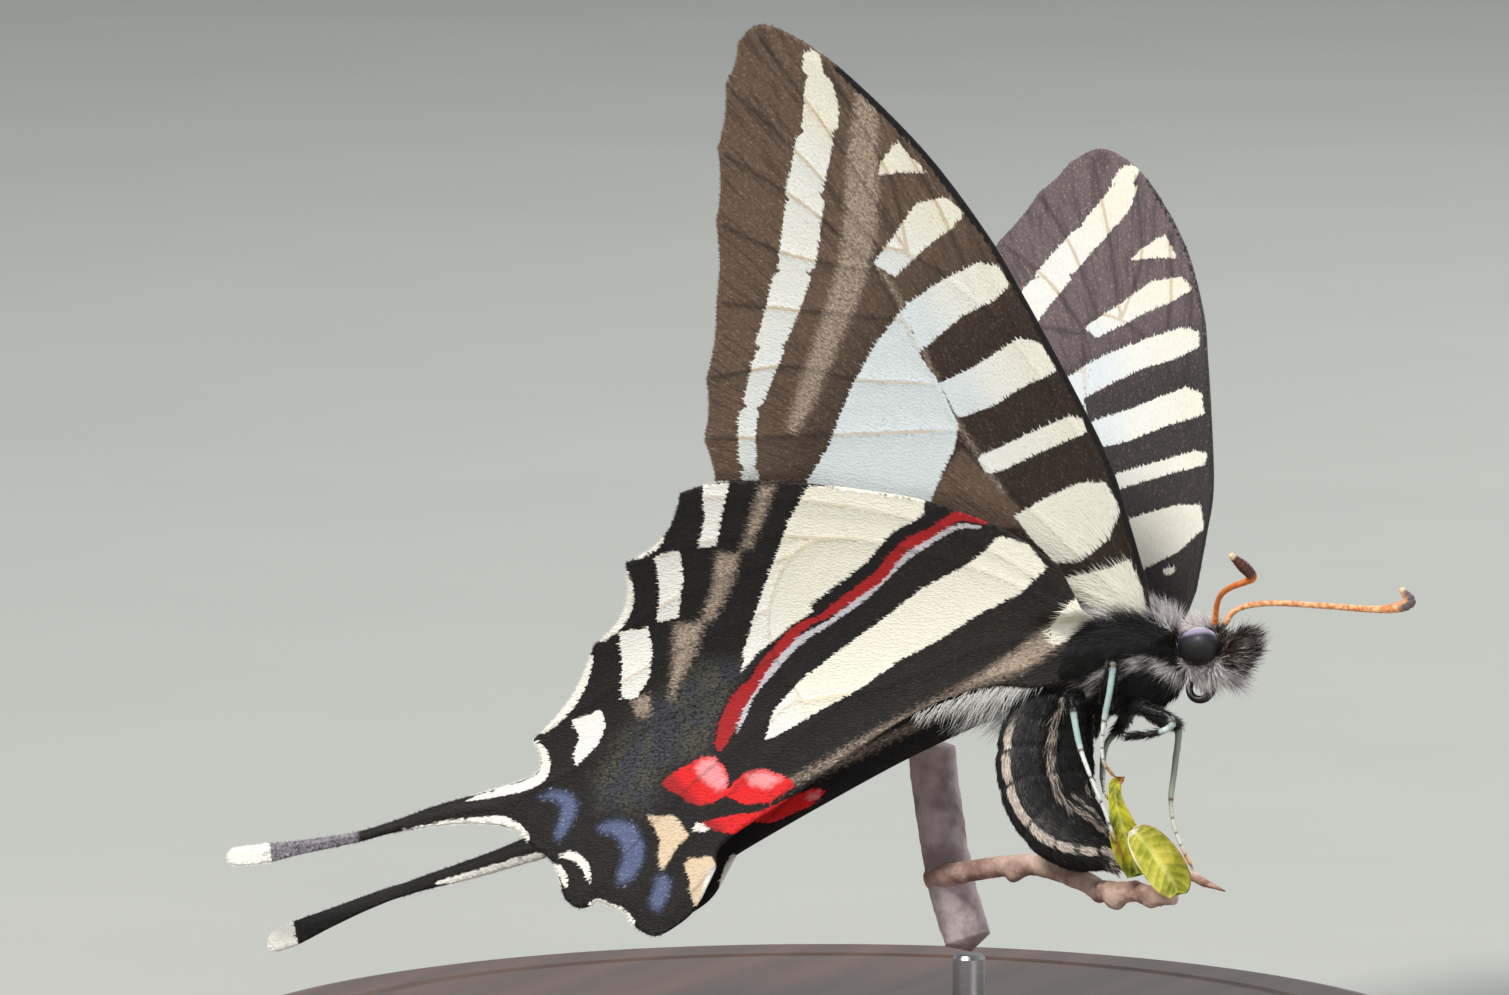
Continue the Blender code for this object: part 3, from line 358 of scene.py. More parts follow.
# Perch and stand, in world axes
STEM = [(4.3, 4.45, 20.6), (4.8, 4.2, 17.6), (5.8, 3.6, 13.6), (7.0, 3.25, 10.3)]
STEM_RADIUS = 1.35
TWIG = [(5.0, 3.3, 13.6), (7.4, 1.6, 14.3), (12.3, -0.45, 15.3), (16.2, -2.7, 15.0), (18.0, -4.0, 14.6)]
TWIG_RADII = [0.75, 0.62, 0.6, 0.6, 0.65]
KNOB = [
    (18.3, -4.3, 14.75), (19.3, -4.85, 14.85), (20.6, -5.0, 14.9), (21.8, -5.15, 14.8),
    (22.8, -5.35, 14.8)
]
KNOB_RADII = [0.68, 0.66, 0.6, 0.58, 0.45]
LEAF_FRONT = [
    (20.7, -5.5, 16.0), (20.44, -5.8, 17.2), (20.12, -5.9, 18.12), (19.87, -5.85, 18.91),
    (19.59, -5.75, 19.65), (19.41, -5.6, 20.27), (19.42, -5.5, 20.8), (19.73, -5.4, 21.08),
]
LEAF_FRONT_RADII = [0.7, 1.05, 1.0, 0.72, 0.52, 0.4, 0.4, 0.2]
LEAF_REAR = [
    (23.3, -6.2, 15.2), (23.2, -6.55, 15.84), (22.72, -6.8, 16.7), (22.0, -6.85, 17.6), (21.37, -6.8, 18.2),
    (20.95, -6.7, 18.5),
]
LEAF_REAR_RADII = [0.6, 1.15, 1.35, 1.25, 0.9, 0.35]
SCALE = [
    (23.2, -5.5, 16.0), (23.83, -5.4, 16.04), (24.43, -5.3, 15.74), (25.13, -5.3, 15.51),
    (25.71, -5.3, 15.32)
]
SCALE_RADII = [0.3, 0.34, 0.3, 0.2, 0.1]
ROD_AT = (7.1, 3.2)


# curves and fields
def ramp(value, start, end):
    t = np.clip((np.asarray(value, float) - start) / (end - start), 0.0, 1.0)
    return t * t * (3 - 2 * t)


def unit(v):
    return v / np.maximum(np.linalg.norm(v, axis=-1, keepdims=True), TINY)


def smooth_line(points, steps):
    """Points along a Catmull-Rom curve through the given ones, of any dimension."""
    p = np.array(points, float)
    p = np.vstack([2 * p[0] - p[1], p, 2 * p[-1] - p[-2]])
    out = []
    for i in range(1, len(p) - 2):
        a, b, c, d = p[i - 1:i + 3]
        for k in range(steps):
            t = k / steps
            bend = (2 * a - 5 * b + 4 * c - d) * t * t + (3 * b - a - 3 * c + d) * t ** 3
            out.append(0.5 * (2 * b + (c - a) * t + bend))
    out.append(p[-2])
    return np.array(out)


def resampled(line, spacing):
    """The same line with no step longer than spacing."""
    out = []
    for a, b in zip(line[:-1], line[1:]):
        count = max(1, int(math.ceil(np.linalg.norm(b - a) / spacing)))
        out += [a + (b - a) * k / count for k in range(count)]
    out.append(line[-1])
    return np.array(out)


def line_distance(points, line, widths=None):
    """Distance from each point to a line, less the line's own half width there if widths are given."""
    best = np.full(len(points), FAR)
    for i in range(len(line) - 1):
        a = line[i]
        span = line[i + 1] - a
        t = np.clip((points - a) @ span / max(span @ span, TINY), 0, 1)
        found = np.linalg.norm(points - a - t[:, None] * span, axis=1)
        if widths is not None:
            found = found - (widths[i] + (widths[i + 1] - widths[i]) * t)
        best = np.minimum(best, found)
    return best


def nearest_on_line(points, line, before=0.0, after=1.0):
    """Where a line is nearest to each point: share along it, distance, offset, and the line's way.

    The first segment reaches back to its share before, and the last one on to its share after.
    """
    best = np.full(len(points), FAR)
    share = np.zeros(len(points))
    away = np.zeros_like(points)
    way = np.zeros_like(points)
    last = len(line) - 1
    for i in range(last):
        span = line[i + 1] - line[i]
        t = (points - line[i]) @ span / (span @ span)
        t = np.clip(t, 0 if i else before, 1 if i < last - 1 else after)
        off = points - line[i] - t[:, None] * span
        found = np.linalg.norm(off, axis=1)
        closer = found < best
        best = np.where(closer, found, best)
        share = np.where(closer, (i + t) / last, share)
        away[closer] = off[closer]
        way[closer] = unit(span)
    return share, best, away, way


def line_ways(line):
    """The way a line goes at each of its points."""
    return unit(np.vstack([line[1:2] - line[:1], line[2:] - line[:-2], line[-1:] - line[-2:-1]]))


def ring_turns(sides):
    return np.arange(sides) / sides * TAU


def inside(points, loop):
    odd = np.zeros(len(points), bool)
    for a, b in zip(loop, np.roll(loop, -1, axis=0)):
        if a[1] == b[1]:
            continue
        crosses = (a[1] > points[:, 1]) != (b[1] > points[:, 1])
        odd ^= crosses & (points[:, 0] < (b[0] - a[0]) * (points[:, 1] - a[1]) / (b[1] - a[1]) + a[0])
    return odd


def marks_depth(points, marks):
    """How far each point is inside the nearest of several closed marks; negative outside."""
    best = np.full(len(points), OUTSIDE)
    for mark in marks:
        loop = np.array(mark, float)
        low = loop.min(0) - 1.5
        high = loop.max(0) + 1.5
        near = np.all((points > low) & (points < high), axis=1)
        if near.any():
            away = line_distance(points[near], np.vstack([loop, loop[:1]]))
            depth = np.where(inside(points[near], loop), away, -away)
            best[near] = np.maximum(best[near], depth)
    return best


def strokes_depth(points, strokes, steps=3):
    best = np.full(len(points), OUTSIDE)
    for stroke in strokes:
        rows = smooth_line(stroke, steps)
        best = np.maximum(best, -line_distance(points, rows[:, :2], rows[:, 2]))
    return best


def lattice(cells, seed):
    """A repeatable random value between 0 and 1 for each whole-number cell."""
    n = cells.astype(np.int64)
    h = n[:, 0] * 374761393 + n[:, 1] * 668265263 + n[:, 2] * 2147483647 + seed * 1274126177
    h = (h ^ (h >> 13)) * 1274126177 & 0xFFFFFFFF
    return ((h ^ (h >> 16)) & 0xFFFFFF) / 0xFFFFFF


def noise3(points, scale, seed=0):
    """Smooth noise between -1 and 1 at each point."""
    p = np.asarray(points, float) * scale
    base = np.floor(p)
    f = p - base
    f = f * f * (3 - 2 * f)
    total = np.zeros(len(p))
    for dx in (0, 1):
        for dy in (0, 1):
            for dz in (0, 1):
                weight = np.abs(1 - dx - f[:, 0]) * np.abs(1 - dy - f[:, 1]) * np.abs(1 - dz - f[:, 2])
                total += weight * lattice(base + (dx, dy, dz), seed)
    return total * 2 - 1


# meshes
def new_piece(name, points, faces, materials, attributes=None, uv=None, face_material=None,
              smooth=True):
    """A mesh piece from world points in millimetres and an array of triangles, riding on the model."""
    points = np.asarray(points, float)
    faces = np.asarray(faces, np.int32)
    mesh = bpy.data.meshes.new(name)
    mesh.vertices.add(len(points))
    mesh.vertices.foreach_set("co", (points * MM).ravel())
    mesh.loops.add(faces.size)
    mesh.loops.foreach_set("vertex_index", faces.ravel())
    mesh.polygons.add(len(faces))
    mesh.polygons.foreach_set("loop_start", np.arange(0, faces.size, 3, dtype=np.int32))
    if face_material is not None:
        mesh.polygons.foreach_set("material_index", np.asarray(face_material, np.int32))
    mesh.polygons.foreach_set("use_smooth", np.full(len(faces), smooth))
    mesh.update(calc_edges=True)
    for key, values in (attributes or {}).items():
        values = np.asarray(values, np.float32)
        kind = "FLOAT_VECTOR" if values.ndim == 2 else "FLOAT"
        field = mesh.attributes.new(key, kind, "POINT")
        field.data.foreach_set("vector" if values.ndim == 2 else "value", values.ravel())
    if uv is not None:
        layer = mesh.uv_layers.new(name="OFBake")
        layer.data.foreach_set("uv", np.asarray(uv, np.float32)[faces.ravel()].ravel())
    for m in materials:
        mesh.materials.append(m)
    obj = bpy.data.objects.new(name, mesh)
    bpy.context.scene.collection.objects.link(obj)
    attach(obj, "root")
    return obj


def placed(frame, points):
    m = np.array(frame)
    return points @ m[:3, :3].T + m[:3, 3]


def turned_to(frame, directions):
    return directions @ np.array(frame)[:3, :3].T


def body_matrix():
    lean = Matrix.Rotation(math.radians(-LEAN_LEFT), 4, "X")
    climb = Matrix.Rotation(math.radians(-PITCH_UP), 4, "Y")
    return Matrix.Translation(Vector(BODY_AT)) @ climb @ lean


def wing_frame(side, placing=LEVEL):
    """Wing axes in the world: u along the body, v up and out, the third away from the body."""
    opening = math.radians(OPENING)
    v_axis = Vector((0, side * math.sin(opening), math.cos(opening)))
    out = Vector((0, side * math.cos(opening), -math.sin(opening)))
    axes = Matrix((Vector((1, 0, 0)), v_axis, out)).transposed().to_4x4()
    spin = Matrix.Identity(4)
    turn, shift = placing
    for angle, axis in zip(turn, "XYZ"):
        spin = Matrix.Rotation(math.radians(angle), 4, axis) @ spin
    hinge = Matrix.Translation(Vector((0, side * HINGE_Y, 0)) + Vector(shift))
    return body_matrix() @ hinge @ spin @ axes


def tube_faces(rows, sides):
    """Triangles of a closed tube, with a fan over each end that uses one extra point there."""
    faces = []
    for i in range(rows - 1):
        for k in range(sides):
            a = i * sides + k
            b = i * sides + (k + 1) % sides
            faces += [(a, b, b + sides), (a, b + sides, a + sides)]
    first = rows * sides
    for k in range(sides):
        n = (k + 1) % sides
        faces += [(first, n, k), (first + 1, (rows - 1) * sides + k, (rows - 1) * sides + n)]
    return faces


def tube_mesh(line, radii, sides, shape=None):
    """Points, triangles and share along the line of a closed tube; shape(turns) scales its sections."""
    line = np.asarray(line, float)
    ways = line_ways(line)
    turns = ring_turns(sides)
    scale = np.ones(sides) if shape is None else shape(turns)
    side = np.array((0.0, 1.0, 0.0))
    points = []
    for i, centre in enumerate(line):
        side = unit(side - ways[i] * (side @ ways[i]))
        up = np.cross(ways[i], side)
        ring = np.outer(np.cos(turns), side) + np.outer(np.sin(turns), up)
        points.append(centre + ring * (radii[i] * scale)[:, None])
    first = line[0] - unit(line[1] - line[0]) * radii[0] * 0.5
    last = line[-1] + unit(line[-1] - line[-2]) * radii[-1] * 0.5
    share = np.repeat(np.linspace(0, 1, len(line)), sides)
    return np.vstack(points + [first, last]), tube_faces(len(line), sides), np.append(share, (0.0, 1.0))


def signed_volume(points, faces):
    p = points[faces] - points[faces[0, 0]]
    return np.einsum("ij,ij->i", p[:, 0], np.cross(p[:, 1], p[:, 2])).sum()


def faced_out(points, faces):
    """The faces, turned over if they face inward."""
    return faces[:, ::-1] if signed_volume(points, faces) < 0 else faces


def joined(parts):
    return {key: np.concatenate([p[key] for p in parts]) for key in parts[0]}


def merged(parts):
    """One mesh from several, each given as points, triangles and fields."""
    starts = np.cumsum([0] + [len(part[0]) for part in parts[:-1]])
    faces = np.vstack([np.asarray(part[1]) + start for part, start in zip(parts, starts)])
    return np.vstack([part[0] for part in parts]), faces, joined([part[2] for part in parts])


# materials
class Shader:
    """A material built from nodes, one call for each node."""

    def __init__(self, name):
        self.material = bpy.data.materials.new(name)
        self.material.use_nodes = True
        self.tree = self.material.node_tree
        self.surface = self.tree.nodes["Principled BSDF"]

    def put(self, socket, value):
        if isinstance(value, bpy.types.NodeSocket):
            self.tree.links.new(value, socket)
        elif value is not None:
            if socket.type == "RGBA" and len(value) == 3:
                value = (*value, 1.0)
            socket.default_value = value

    def node(self, kind, sockets=None, **settings):
        made = self.tree.nodes.new(kind)
        for key, value in settings.items():
            setattr(made, key, value)
        for key, value in (sockets or {}).items():
            self.put(made.inputs[key], value)
        return made

    def field(self, name):
        return self.node("ShaderNodeAttribute", attribute_name=name).outputs["Fac"]

    def vector_field(self, name):
        return self.node("ShaderNodeAttribute", attribute_name=name).outputs["Vector"]

    def place(self):
        return self.node("ShaderNodeTexCoord").outputs["Object"]

    def math(self, operation, a, b):
        return self.node("ShaderNodeMath", {0: a, 1: b}, operation=operation).outputs[0]

    def plus(self, a, b):
        return self.math("ADD", a, b)

    def less(self, a, b):
        return self.math("SUBTRACT", a, b)

    def times(self, a, b):
        return self.math("MULTIPLY", a, b)

    def step(self, value, low, high):
        """0 below low and 1 above high, smooth between."""
        sockets = {"Value": value, "From Min": low, "From Max": high, "To Min": 0.0, "To Max": 1.0}
        return self.node("ShaderNodeMapRange", sockets, interpolation_type="SMOOTHSTEP").outputs[0]

    def mix(self, share, a, b, blend="MIX"):
        made = self.node("ShaderNodeMix", data_type="RGBA", blend_type=blend)
        self.put(made.inputs[0], share)
        self.put(made.inputs[6], a)
        self.put(made.inputs[7], b)
        return made.outputs[2]

    def stretch(self, vector, scale):
        return self.node("ShaderNodeMapping", {"Vector": vector, "Scale": scale}).outputs[0]

    def noise(self, vector, scale, detail=3.0, rough=0.55):
        sockets = {"Vector": vector, "Scale": scale, "Detail": detail, "Roughness": rough}
        return self.node("ShaderNodeTexNoise", sockets).outputs["Fac"]

    def cells(self, vector, scale):
        return self.node("ShaderNodeTexVoronoi", {"Vector": vector, "Scale": scale}).outputs["Distance"]

    def bump(self, height, strength, distance):
        sockets = {"Height": height, "Strength": strength, "Distance": distance}
        self.put(self.surface.inputs["Normal"], self.node("ShaderNodeBump", sockets).outputs[0])

    def done(self, colour, roughness, **constants):
        self.put(self.surface.inputs["Base Color"], colour)
        self.put(self.surface.inputs["Roughness"], roughness)
        for key, value in constants.items():
            self.put(self.surface.inputs[key.replace("_", " ")], value)
        return self.material


def srgb(red, green, blue):
    """A colour in the shader's own linear values from 0-255 ones."""
    parts = (red, green, blue)
    return tuple(((c / 255 + 0.055) / 1.055) ** 2.4 if c > 10 else c / 255 / 12.92 for c in parts)


class WingShader(Shader):
    """Scales of a wing: each mark is a depth in millimetres held on the mesh, with a ragged edge."""

    def __init__(self, name, darkest):
        super().__init__(name)
        self.darkest = darkest
        self.grain = self.vector_field("grain")
        self.ragged = self.less(self.noise(self.stretch(self.grain, (1.0, 0.3, 1.0)), 11.0, 2.0), 0.5)
        self.speck = self.noise(self.stretch(self.grain, (1.0, 0.4, 1.0)), 14.0, 1.0)
        self.vein = self.step(self.field("vein"), -0.02, 0.05)

    def mark(self, key, rough=0.38, soft=0.035):
        depth = self.plus(self.field(key), self.times(self.ragged, rough))
        return self.step(depth, -soft, soft)

    def ground(self, middle, outer):
        """The dark scales, browner toward the wing's tip, with light specks and dark streaks."""
        tone = self.field("tone")
        dark = self.mix(self.step(tone, 0.0, 0.5), self.darkest, middle)
        dark = self.mix(self.step(tone, 0.4, 1.0), dark, outer)
        lit = self.times(self.step(self.speck, 0.5, 0.72), self.plus(0.05, self.times(tone, 0.65)))
        dark = self.mix(lit, dark, self.mix(0.5, dark, srgb(178, 152, 126)))
        streak = self.noise(self.stretch(self.grain, (1.0, 0.06, 1.0)), 5.0, 2.0)
        dark = self.mix(self.times(self.step(streak, 0.5, 0.62), self.times(tone, 0.35)), dark, self.darkest)
        along_vein = self.times(self.step(self.field("vein"), -0.22, 0.05), self.times(tone, 0.25))
        return self.mix(along_vein, dark, self.darkest)

    def pale(self, white):
        """The white scales, bluish or cream by place, and tan along the veins."""
        warmth = self.field("warmth")
        pale = self.mix(self.step(warmth, 0.0, 0.5), srgb(222, 232, 236), srgb(243, 242, 234))
        pale = self.mix(self.step(warmth, 0.45, 1.0), pale, srgb(245, 240, 222))
        pale = self.mix(self.times(self.step(self.speck, 0.55, 0.8), 0.25), pale, srgb(190, 180, 160))
        pale = self.mix(self.times(self.vein, self.field("veined")), pale, srgb(206, 180, 140))
        # A white below 1 dims the whites: painted shade on the inner faces
        return self.mix(1.0, pale, (white, white, white), "MULTIPLY")

    def broad_marks(self, dark, white):
        """The wide fields of grey, tan, cream and white over the dark scales."""
        broad = self.step(self.noise(self.grain, 0.5, 2.0), 0.4, 0.6)
        slate = self.times(self.mark("slate", 1.6, 0.9), self.step(self.speck, 0.34, 0.58))
        colour = self.mix(self.times(slate, 0.7), dark, self.mix(broad, srgb(70, 74, 84), srgb(92, 92, 76)))
        tan = self.times(self.mark("tan", 1.1, 0.3), 0.86)
        sandy = self.mix(self.step(self.speck, 0.35, 0.65), srgb(140, 119, 102), srgb(196, 178, 160))
        colour = self.mix(tan, colour, sandy)
        creamy = self.mix(self.speck, srgb(214, 190, 160), srgb(232, 210, 178))
        colour = self.mix(self.mark("cream", 0.3, 0.08), colour, creamy)
        colour = self.mix(self.mark("pale"), colour, self.pale(white))
        dusted = self.times(self.mark("dust", 2.2, 1.1), self.step(self.speck, 0.42, 0.6))
        colour = self.mix(self.times(dusted, 0.9), colour, self.mix(0.5, dark, srgb(95, 80, 70)))
        return self.mix(self.mark("black", 0.5, 0.06), colour, self.darkest)

    def small_marks(self, colour):
        """The grey line, the red marks with painted shade on their lower left and painted pinkish highlights
        on their upper right, the bluish moons and the fringe.
        """
        silver = self.mix(self.speck, srgb(196, 190, 196), srgb(214, 210, 214))
        colour = self.mix(self.times(self.mark("grey", 0.3), 0.92), colour, silver)
        # Duller red where bright is low: on the stripe, and on the spots' lower left as painted shade
        red = self.mix(self.step(self.field("bright"), 0.2, 0.8), srgb(168, 24, 28), srgb(228, 26, 28))
        red = self.mix(self.step(self.speck, 0.58, 0.75), red, srgb(150, 30, 32))
        colour = self.mix(self.mark("red", 0.26), colour, red)
        # Painted highlight: pale pinkish over the upper right of the red spots
        colour = self.mix(self.times(self.mark("pink", 0.4, 0.22), 0.92), colour, srgb(246, 160, 164))
        bluish = self.mix(self.step(self.field("blue"), 0.0, 0.42), srgb(38, 44, 66), srgb(88, 100, 134))
        bluish = self.mix(self.step(self.speck, 0.55, 0.75), bluish, srgb(128, 134, 148))
        colour = self.mix(self.mark("blue", 0.4, 0.14), colour, bluish)
        violet = self.mix(self.step(self.speck, 0.35, 0.65), srgb(96, 90, 102), srgb(158, 152, 158))
        colour = self.mix(self.times(self.mark("violet", 0.3, 0.2), 0.9), colour, violet)
        return self.mix(self.mark("fringe", 0.2), colour, srgb(243, 240, 230))


def wing_material(name, darkest, middle, outer, white=1.0):
    s = WingShader(name, darkest)
    colour = s.small_marks(s.broad_marks(s.ground(middle, outer), white))
    bare = s.less(0.3, s.times(s.mark("pale"), 0.3))
    colour = s.mix(s.times(s.vein, bare), colour, srgb(20, 15, 12))
    drawn = s.stretch(s.grain, (1.0, 0.5, 1.0))
    shade = s.plus(0.86, s.times(s.noise(drawn, 16.0, 1.0), 0.28))
    grey = s.node("ShaderNodeCombineColor", {0: shade, 1: shade, 2: shade}).outputs[0]
    colour = s.mix(1.0, colour, grey, "MULTIPLY")
    s.bump(s.plus(s.speck, s.times(s.cells(drawn, 8.0), 0.6)), 0.35, 0.00003)
    return s.done(colour, 0.62, Sheen_Weight=0.12, Sheen_Roughness=0.4, Specular_IOR_Level=0.35)


def coat_material(name, dull, bright):
    """Hair and body scales, dark to pale, with brown ones on the face."""
    s = Shader(name)
    tone = s.field("tone")
    speck = s.field("speck")
    dark = s.mix(s.field("brown"), srgb(16, 14, 13), srgb(62, 42, 30))
    light = s.mix(speck, dull, bright)
    grown = s.plus(tone, s.times(s.less(speck, 0.5), 0.35))
    colour = s.mix(s.step(grown, 0.1, 0.85), dark, light)
    return s.done(colour, 0.5, Sheen_Weight=0.25, Sheen_Roughness=0.35, Specular_IOR_Level=0.4)


def skin_material(name):
    s = Shader(name)
    dark = s.mix(s.field("brown"), srgb(13, 11, 10), srgb(40, 27, 20))
    fine = s.noise(s.place(), 9000.0, 3.0)
    grown = s.plus(s.field("tone"), s.times(s.less(fine, 0.5), 0.3))
    colour = s.mix(s.step(grown, 0.2, 0.85), dark, srgb(170, 162, 155))
    s.bump(fine, 0.4, 0.00003)
    return s.done(colour, 0.6)


def eye_material():
    s = Shader("compound_eye")
    height = s.node("ShaderNodeSeparateXYZ", {"Vector": s.vector_field("facing")}).outputs
    wavy = s.noise(s.place(), 1500.0, 2.0)
    up = s.plus(height[2], s.times(wavy, 0.16))
    # Painted shade: near black over the eye's lower part, deep blue-black above it
    colour = s.mix(s.step(up, 0.0, 0.55), srgb(10, 8, 9), srgb(30, 29, 48))
    # Painted highlight: lilac grey, then pale grey, over the eye's upper part
    colour = s.mix(s.step(up, 0.5, 0.8), colour, srgb(158, 150, 176))
    colour = s.mix(s.step(up, 0.85, 1.05), colour, srgb(206, 196, 204))
    facet = s.cells(s.place(), 22000.0)
    s.bump(s.less(1.0, facet), 0.6, 0.00002)
    return s.done(colour, 0.5, Coat_Weight=0.12, Coat_Roughness=0.25, Specular_IOR_Level=0.35)


def antenna_material(name, stalk_low, stalk_high, club, under):
    s = Shader(name)
    along = s.field("along")
    rings = s.noise(s.place(), 3600.0, 2.0)
    stalk = s.mix(s.step(rings, 0.35, 0.65), stalk_low, stalk_high)
    colour = s.mix(s.step(along, 0.7, 0.78), stalk, s.mix(s.step(s.field("under"), 0.3, 0.7), club, under))
    colour = s.mix(s.step(along, 0.955, 0.985), colour, srgb(226, 204, 160))
    s.bump(s.field("rings"), 0.6, 0.00003)
    return s.done(colour, 0.45, Specular_IOR_Level=0.5)


def leg_material(name, shin, foot):
    s = Shader(name)
    along = s.field("along")
    fine = s.noise(s.place(), 6000.0, 3.0)
    colour = s.mix(s.step(along, 0.1, 0.95), srgb(18, 15, 14), shin)
    colour = s.mix(s.step(along, 1.5, 2.2), colour, foot)
    colour = s.mix(s.step(s.plus(along, s.times(fine, 0.5)), 3.1, 3.6), colour, srgb(186, 128, 70))
    mottled = s.times(s.step(fine, 0.5, 0.75), s.times(s.step(along, 0.6, 1.0), 0.3))
    colour = s.mix(mottled, colour, srgb(128, 132, 120))
    colour = s.mix(s.field("joint"), colour, srgb(96, 66, 40))
    s.bump(fine, 0.5, 0.00003)
    return s.done(colour, 0.42, Specular_IOR_Level=0.5)


def coil_material():
    s = Shader("tongue_coil")
    fine = s.noise(s.place(), 7000.0, 2.0)
    colour = s.mix(s.field("under"), srgb(18, 13, 10), srgb(150, 136, 112))
    colour = s.mix(s.times(s.step(fine, 0.5, 0.8), 0.4), colour, srgb(60, 44, 30))
    s.bump(s.field("rings"), 0.5, 0.00003)
    return s.done(colour, 0.35)


def bark_material(name, dark, light, blush):
    s = Shader(name)
    place = s.place()
    broad = s.noise(place, 500.0, 4.0)
    fine = s.noise(place, 3500.0, 4.0, 0.65)
    colour = s.mix(s.step(broad, 0.35, 0.65), dark, light)
    colour = s.mix(s.times(s.step(fine, 0.55, 0.75), 0.6), colour, blush)
    pores = s.step(s.cells(place, 900.0), 0.16, 0.08)
    colour = s.mix(s.times(pores, 0.7), colour, srgb(176, 156, 138))
    s.bump(s.plus(fine, s.times(broad, 0.6)), 0.55, 0.0001)
    return s.done(colour, 0.8, Specular_IOR_Level=0.3)


def leaf_material(name, green, yellow):
    s = Shader(name)
    place = s.place()
    fine = s.noise(place, 2600.0, 3.0)
    patch = s.noise(place, 700.0, 3.0)
    colour = s.mix(s.step(patch, 0.36, 0.6), green, yellow)
    colour = s.mix(s.times(s.step(fine, 0.45, 0.7), 0.4), colour, srgb(158, 168, 40))
    colour = s.mix(s.times(s.field("rib"), 0.45), colour, srgb(226, 220, 140))
    brown = s.step(s.plus(s.field("brown"), s.times(fine, 0.5)), 0.45, 0.85)
    colour = s.mix(brown, colour, s.mix(s.step(fine, 0.4, 0.65), srgb(120, 76, 30), srgb(196, 134, 66)))
    hoary = s.step(s.plus(s.field("hoary"), s.times(fine, 0.7)), 0.6, 0.95)
    colour = s.mix(s.times(hoary, 0.85), colour, srgb(226, 222, 196))
    s.bump(s.plus(fine, s.field("rib")), 0.5, 0.00006)
    return s.done(colour, 0.42, Specular_IOR_Level=0.5,
                  Subsurface_Weight=0.12, Subsurface_Radius=(0.0004, 0.0006, 0.0001))


def wood_material():
    s = Shader("turned_walnut")
    place = s.place()
    warp = s.noise(place, 14.0, 3.0)
    rings = {"Scale": 70.0, "Distortion": 9.0, "Detail": 3.0, "Detail Scale": 1.4}
    rings["Vector"] = s.stretch(place, (1.0, 0.12, 1.0))
    grain = s.node("ShaderNodeTexWave", rings, wave_type="BANDS", bands_direction="X").outputs["Fac"]
    pores = s.noise(s.stretch(place, (1.0, 0.05, 1.0)), 2600.0, 2.0)
    colour = s.mix(s.step(grain, -0.3, 1.3), srgb(68, 43, 29), srgb(90, 59, 40))
    colour = s.mix(s.times(s.step(warp, 0.4, 0.7), 0.5), colour, srgb(74, 46, 30))
    colour = s.mix(s.times(s.step(pores, 0.6, 0.75), 0.6), colour, srgb(34, 20, 13))
    s.bump(s.less(grain, pores), 0.12, 0.00006)
    return s.done(colour, 0.36, Coat_Weight=0.25, Coat_Roughness=0.25)


def steel_material():
    s = Shader("brushed_steel")
    place = s.place()
    brushed = s.noise(s.stretch(place, (1.0, 1.0, 12.0)), 900.0, 3.0)
    colour = s.mix(brushed, srgb(150, 150, 152), srgb(196, 196, 198))
    s.bump(brushed, 0.2, 0.00003)
    return s.done(colour, 0.32, Metallic=1.0)


def floor_material():
    s = Shader("pale_floor")
    fine = s.noise(s.place(), 30.0, 4.0)
    colour = s.mix(fine, srgb(171, 173, 168), srgb(178, 180, 175))
    return s.done(colour, 0.9, Specular_IOR_Level=0.1)


# wings
def bay(a, b, depth, steps=5):
    """Points of a shallow bay from a to b, a included, hollowed toward the wing's inside."""
    a = np.array(a, float)
    b = np.array(b, float)
    inward = unit(np.array([b[1] - a[1], a[0] - b[0]]))
    if inward[0] < 0:
        inward = -inward
    return [a + (b - a) * k / steps + inward * depth * math.sin(math.pi * k / steps) for k in range(steps)]


def fore_outline():
    out = list(smooth_line(FORE_FRONT + FORE_APEX, 6)[:-1])
    ends = [FORE_APEX[-1]] + FORE_VEIN_ENDS
    for a, b in zip(ends, ends[1:]):
        out += bay(a, b, FORE_SCALLOP, 9)
    out += list(smooth_line([FORE_VEIN_ENDS[-1]] + FORE_REAR, 6))
    return np.array(out + [np.array(p, float) for p in FORE_ROOT])


def tail_sides(centre_line):
    rows = smooth_line(centre_line, 6)
    upper = []
    lower = []
    last = len(rows) - 1
    for i, row in enumerate(rows):
        along = unit((rows[min(i + 1, last)] - rows[max(i - 1, 0)])[:2])
        across = np.array([along[1], -along[0]])
        upper.append(row[:2] + across * row[2])
        lower.append(row[:2] - across * row[2])
    way = unit((rows[-1] - rows[-2])[:2])
    across = np.array([way[1], -way[0]])
    width = rows[-1][2]
    turns = np.linspace(0.3, math.pi - 0.3, 9)
    end = rows[-1][:2]
    tip = [end + way * width * TAIL_CAP * math.sin(a) + across * width * math.cos(a) for a in turns]
    return upper, tip, lower[::-1]


def hind_outline(tail_line, tail_root, inner):
    out = list(smooth_line(HIND_FRONT + [HIND_CORNER], 6)[:-1])
    ends = [HIND_CORNER] + HIND_TEETH
    for a, b, depth in zip(ends, ends[1:], HIND_BAYS):
        out += bay(a, b, depth, 14)
    out += [np.array(p, float) for p in [HIND_TEETH[-1]] + tail_root[0]]
    upper, tip, lower = tail_sides(tail_line)
    out += upper + tip + lower
    out += [np.array(p, float) for p in tail_root[1]]
    out += list(smooth_line(HIND_LOBES, 6)[:-1])
    out += list(smooth_line([HIND_LOBES[-1]] + inner, 6))
    return np.array(out + [np.array(p, float) for p in HIND_ROOT])


def fore_height(p):
    reach = np.minimum(np.hypot(p[:, 0], p[:, 1]) / CAMBER_REACH, 1.3)
    return CAMBER * 4 * reach * (1 - reach)


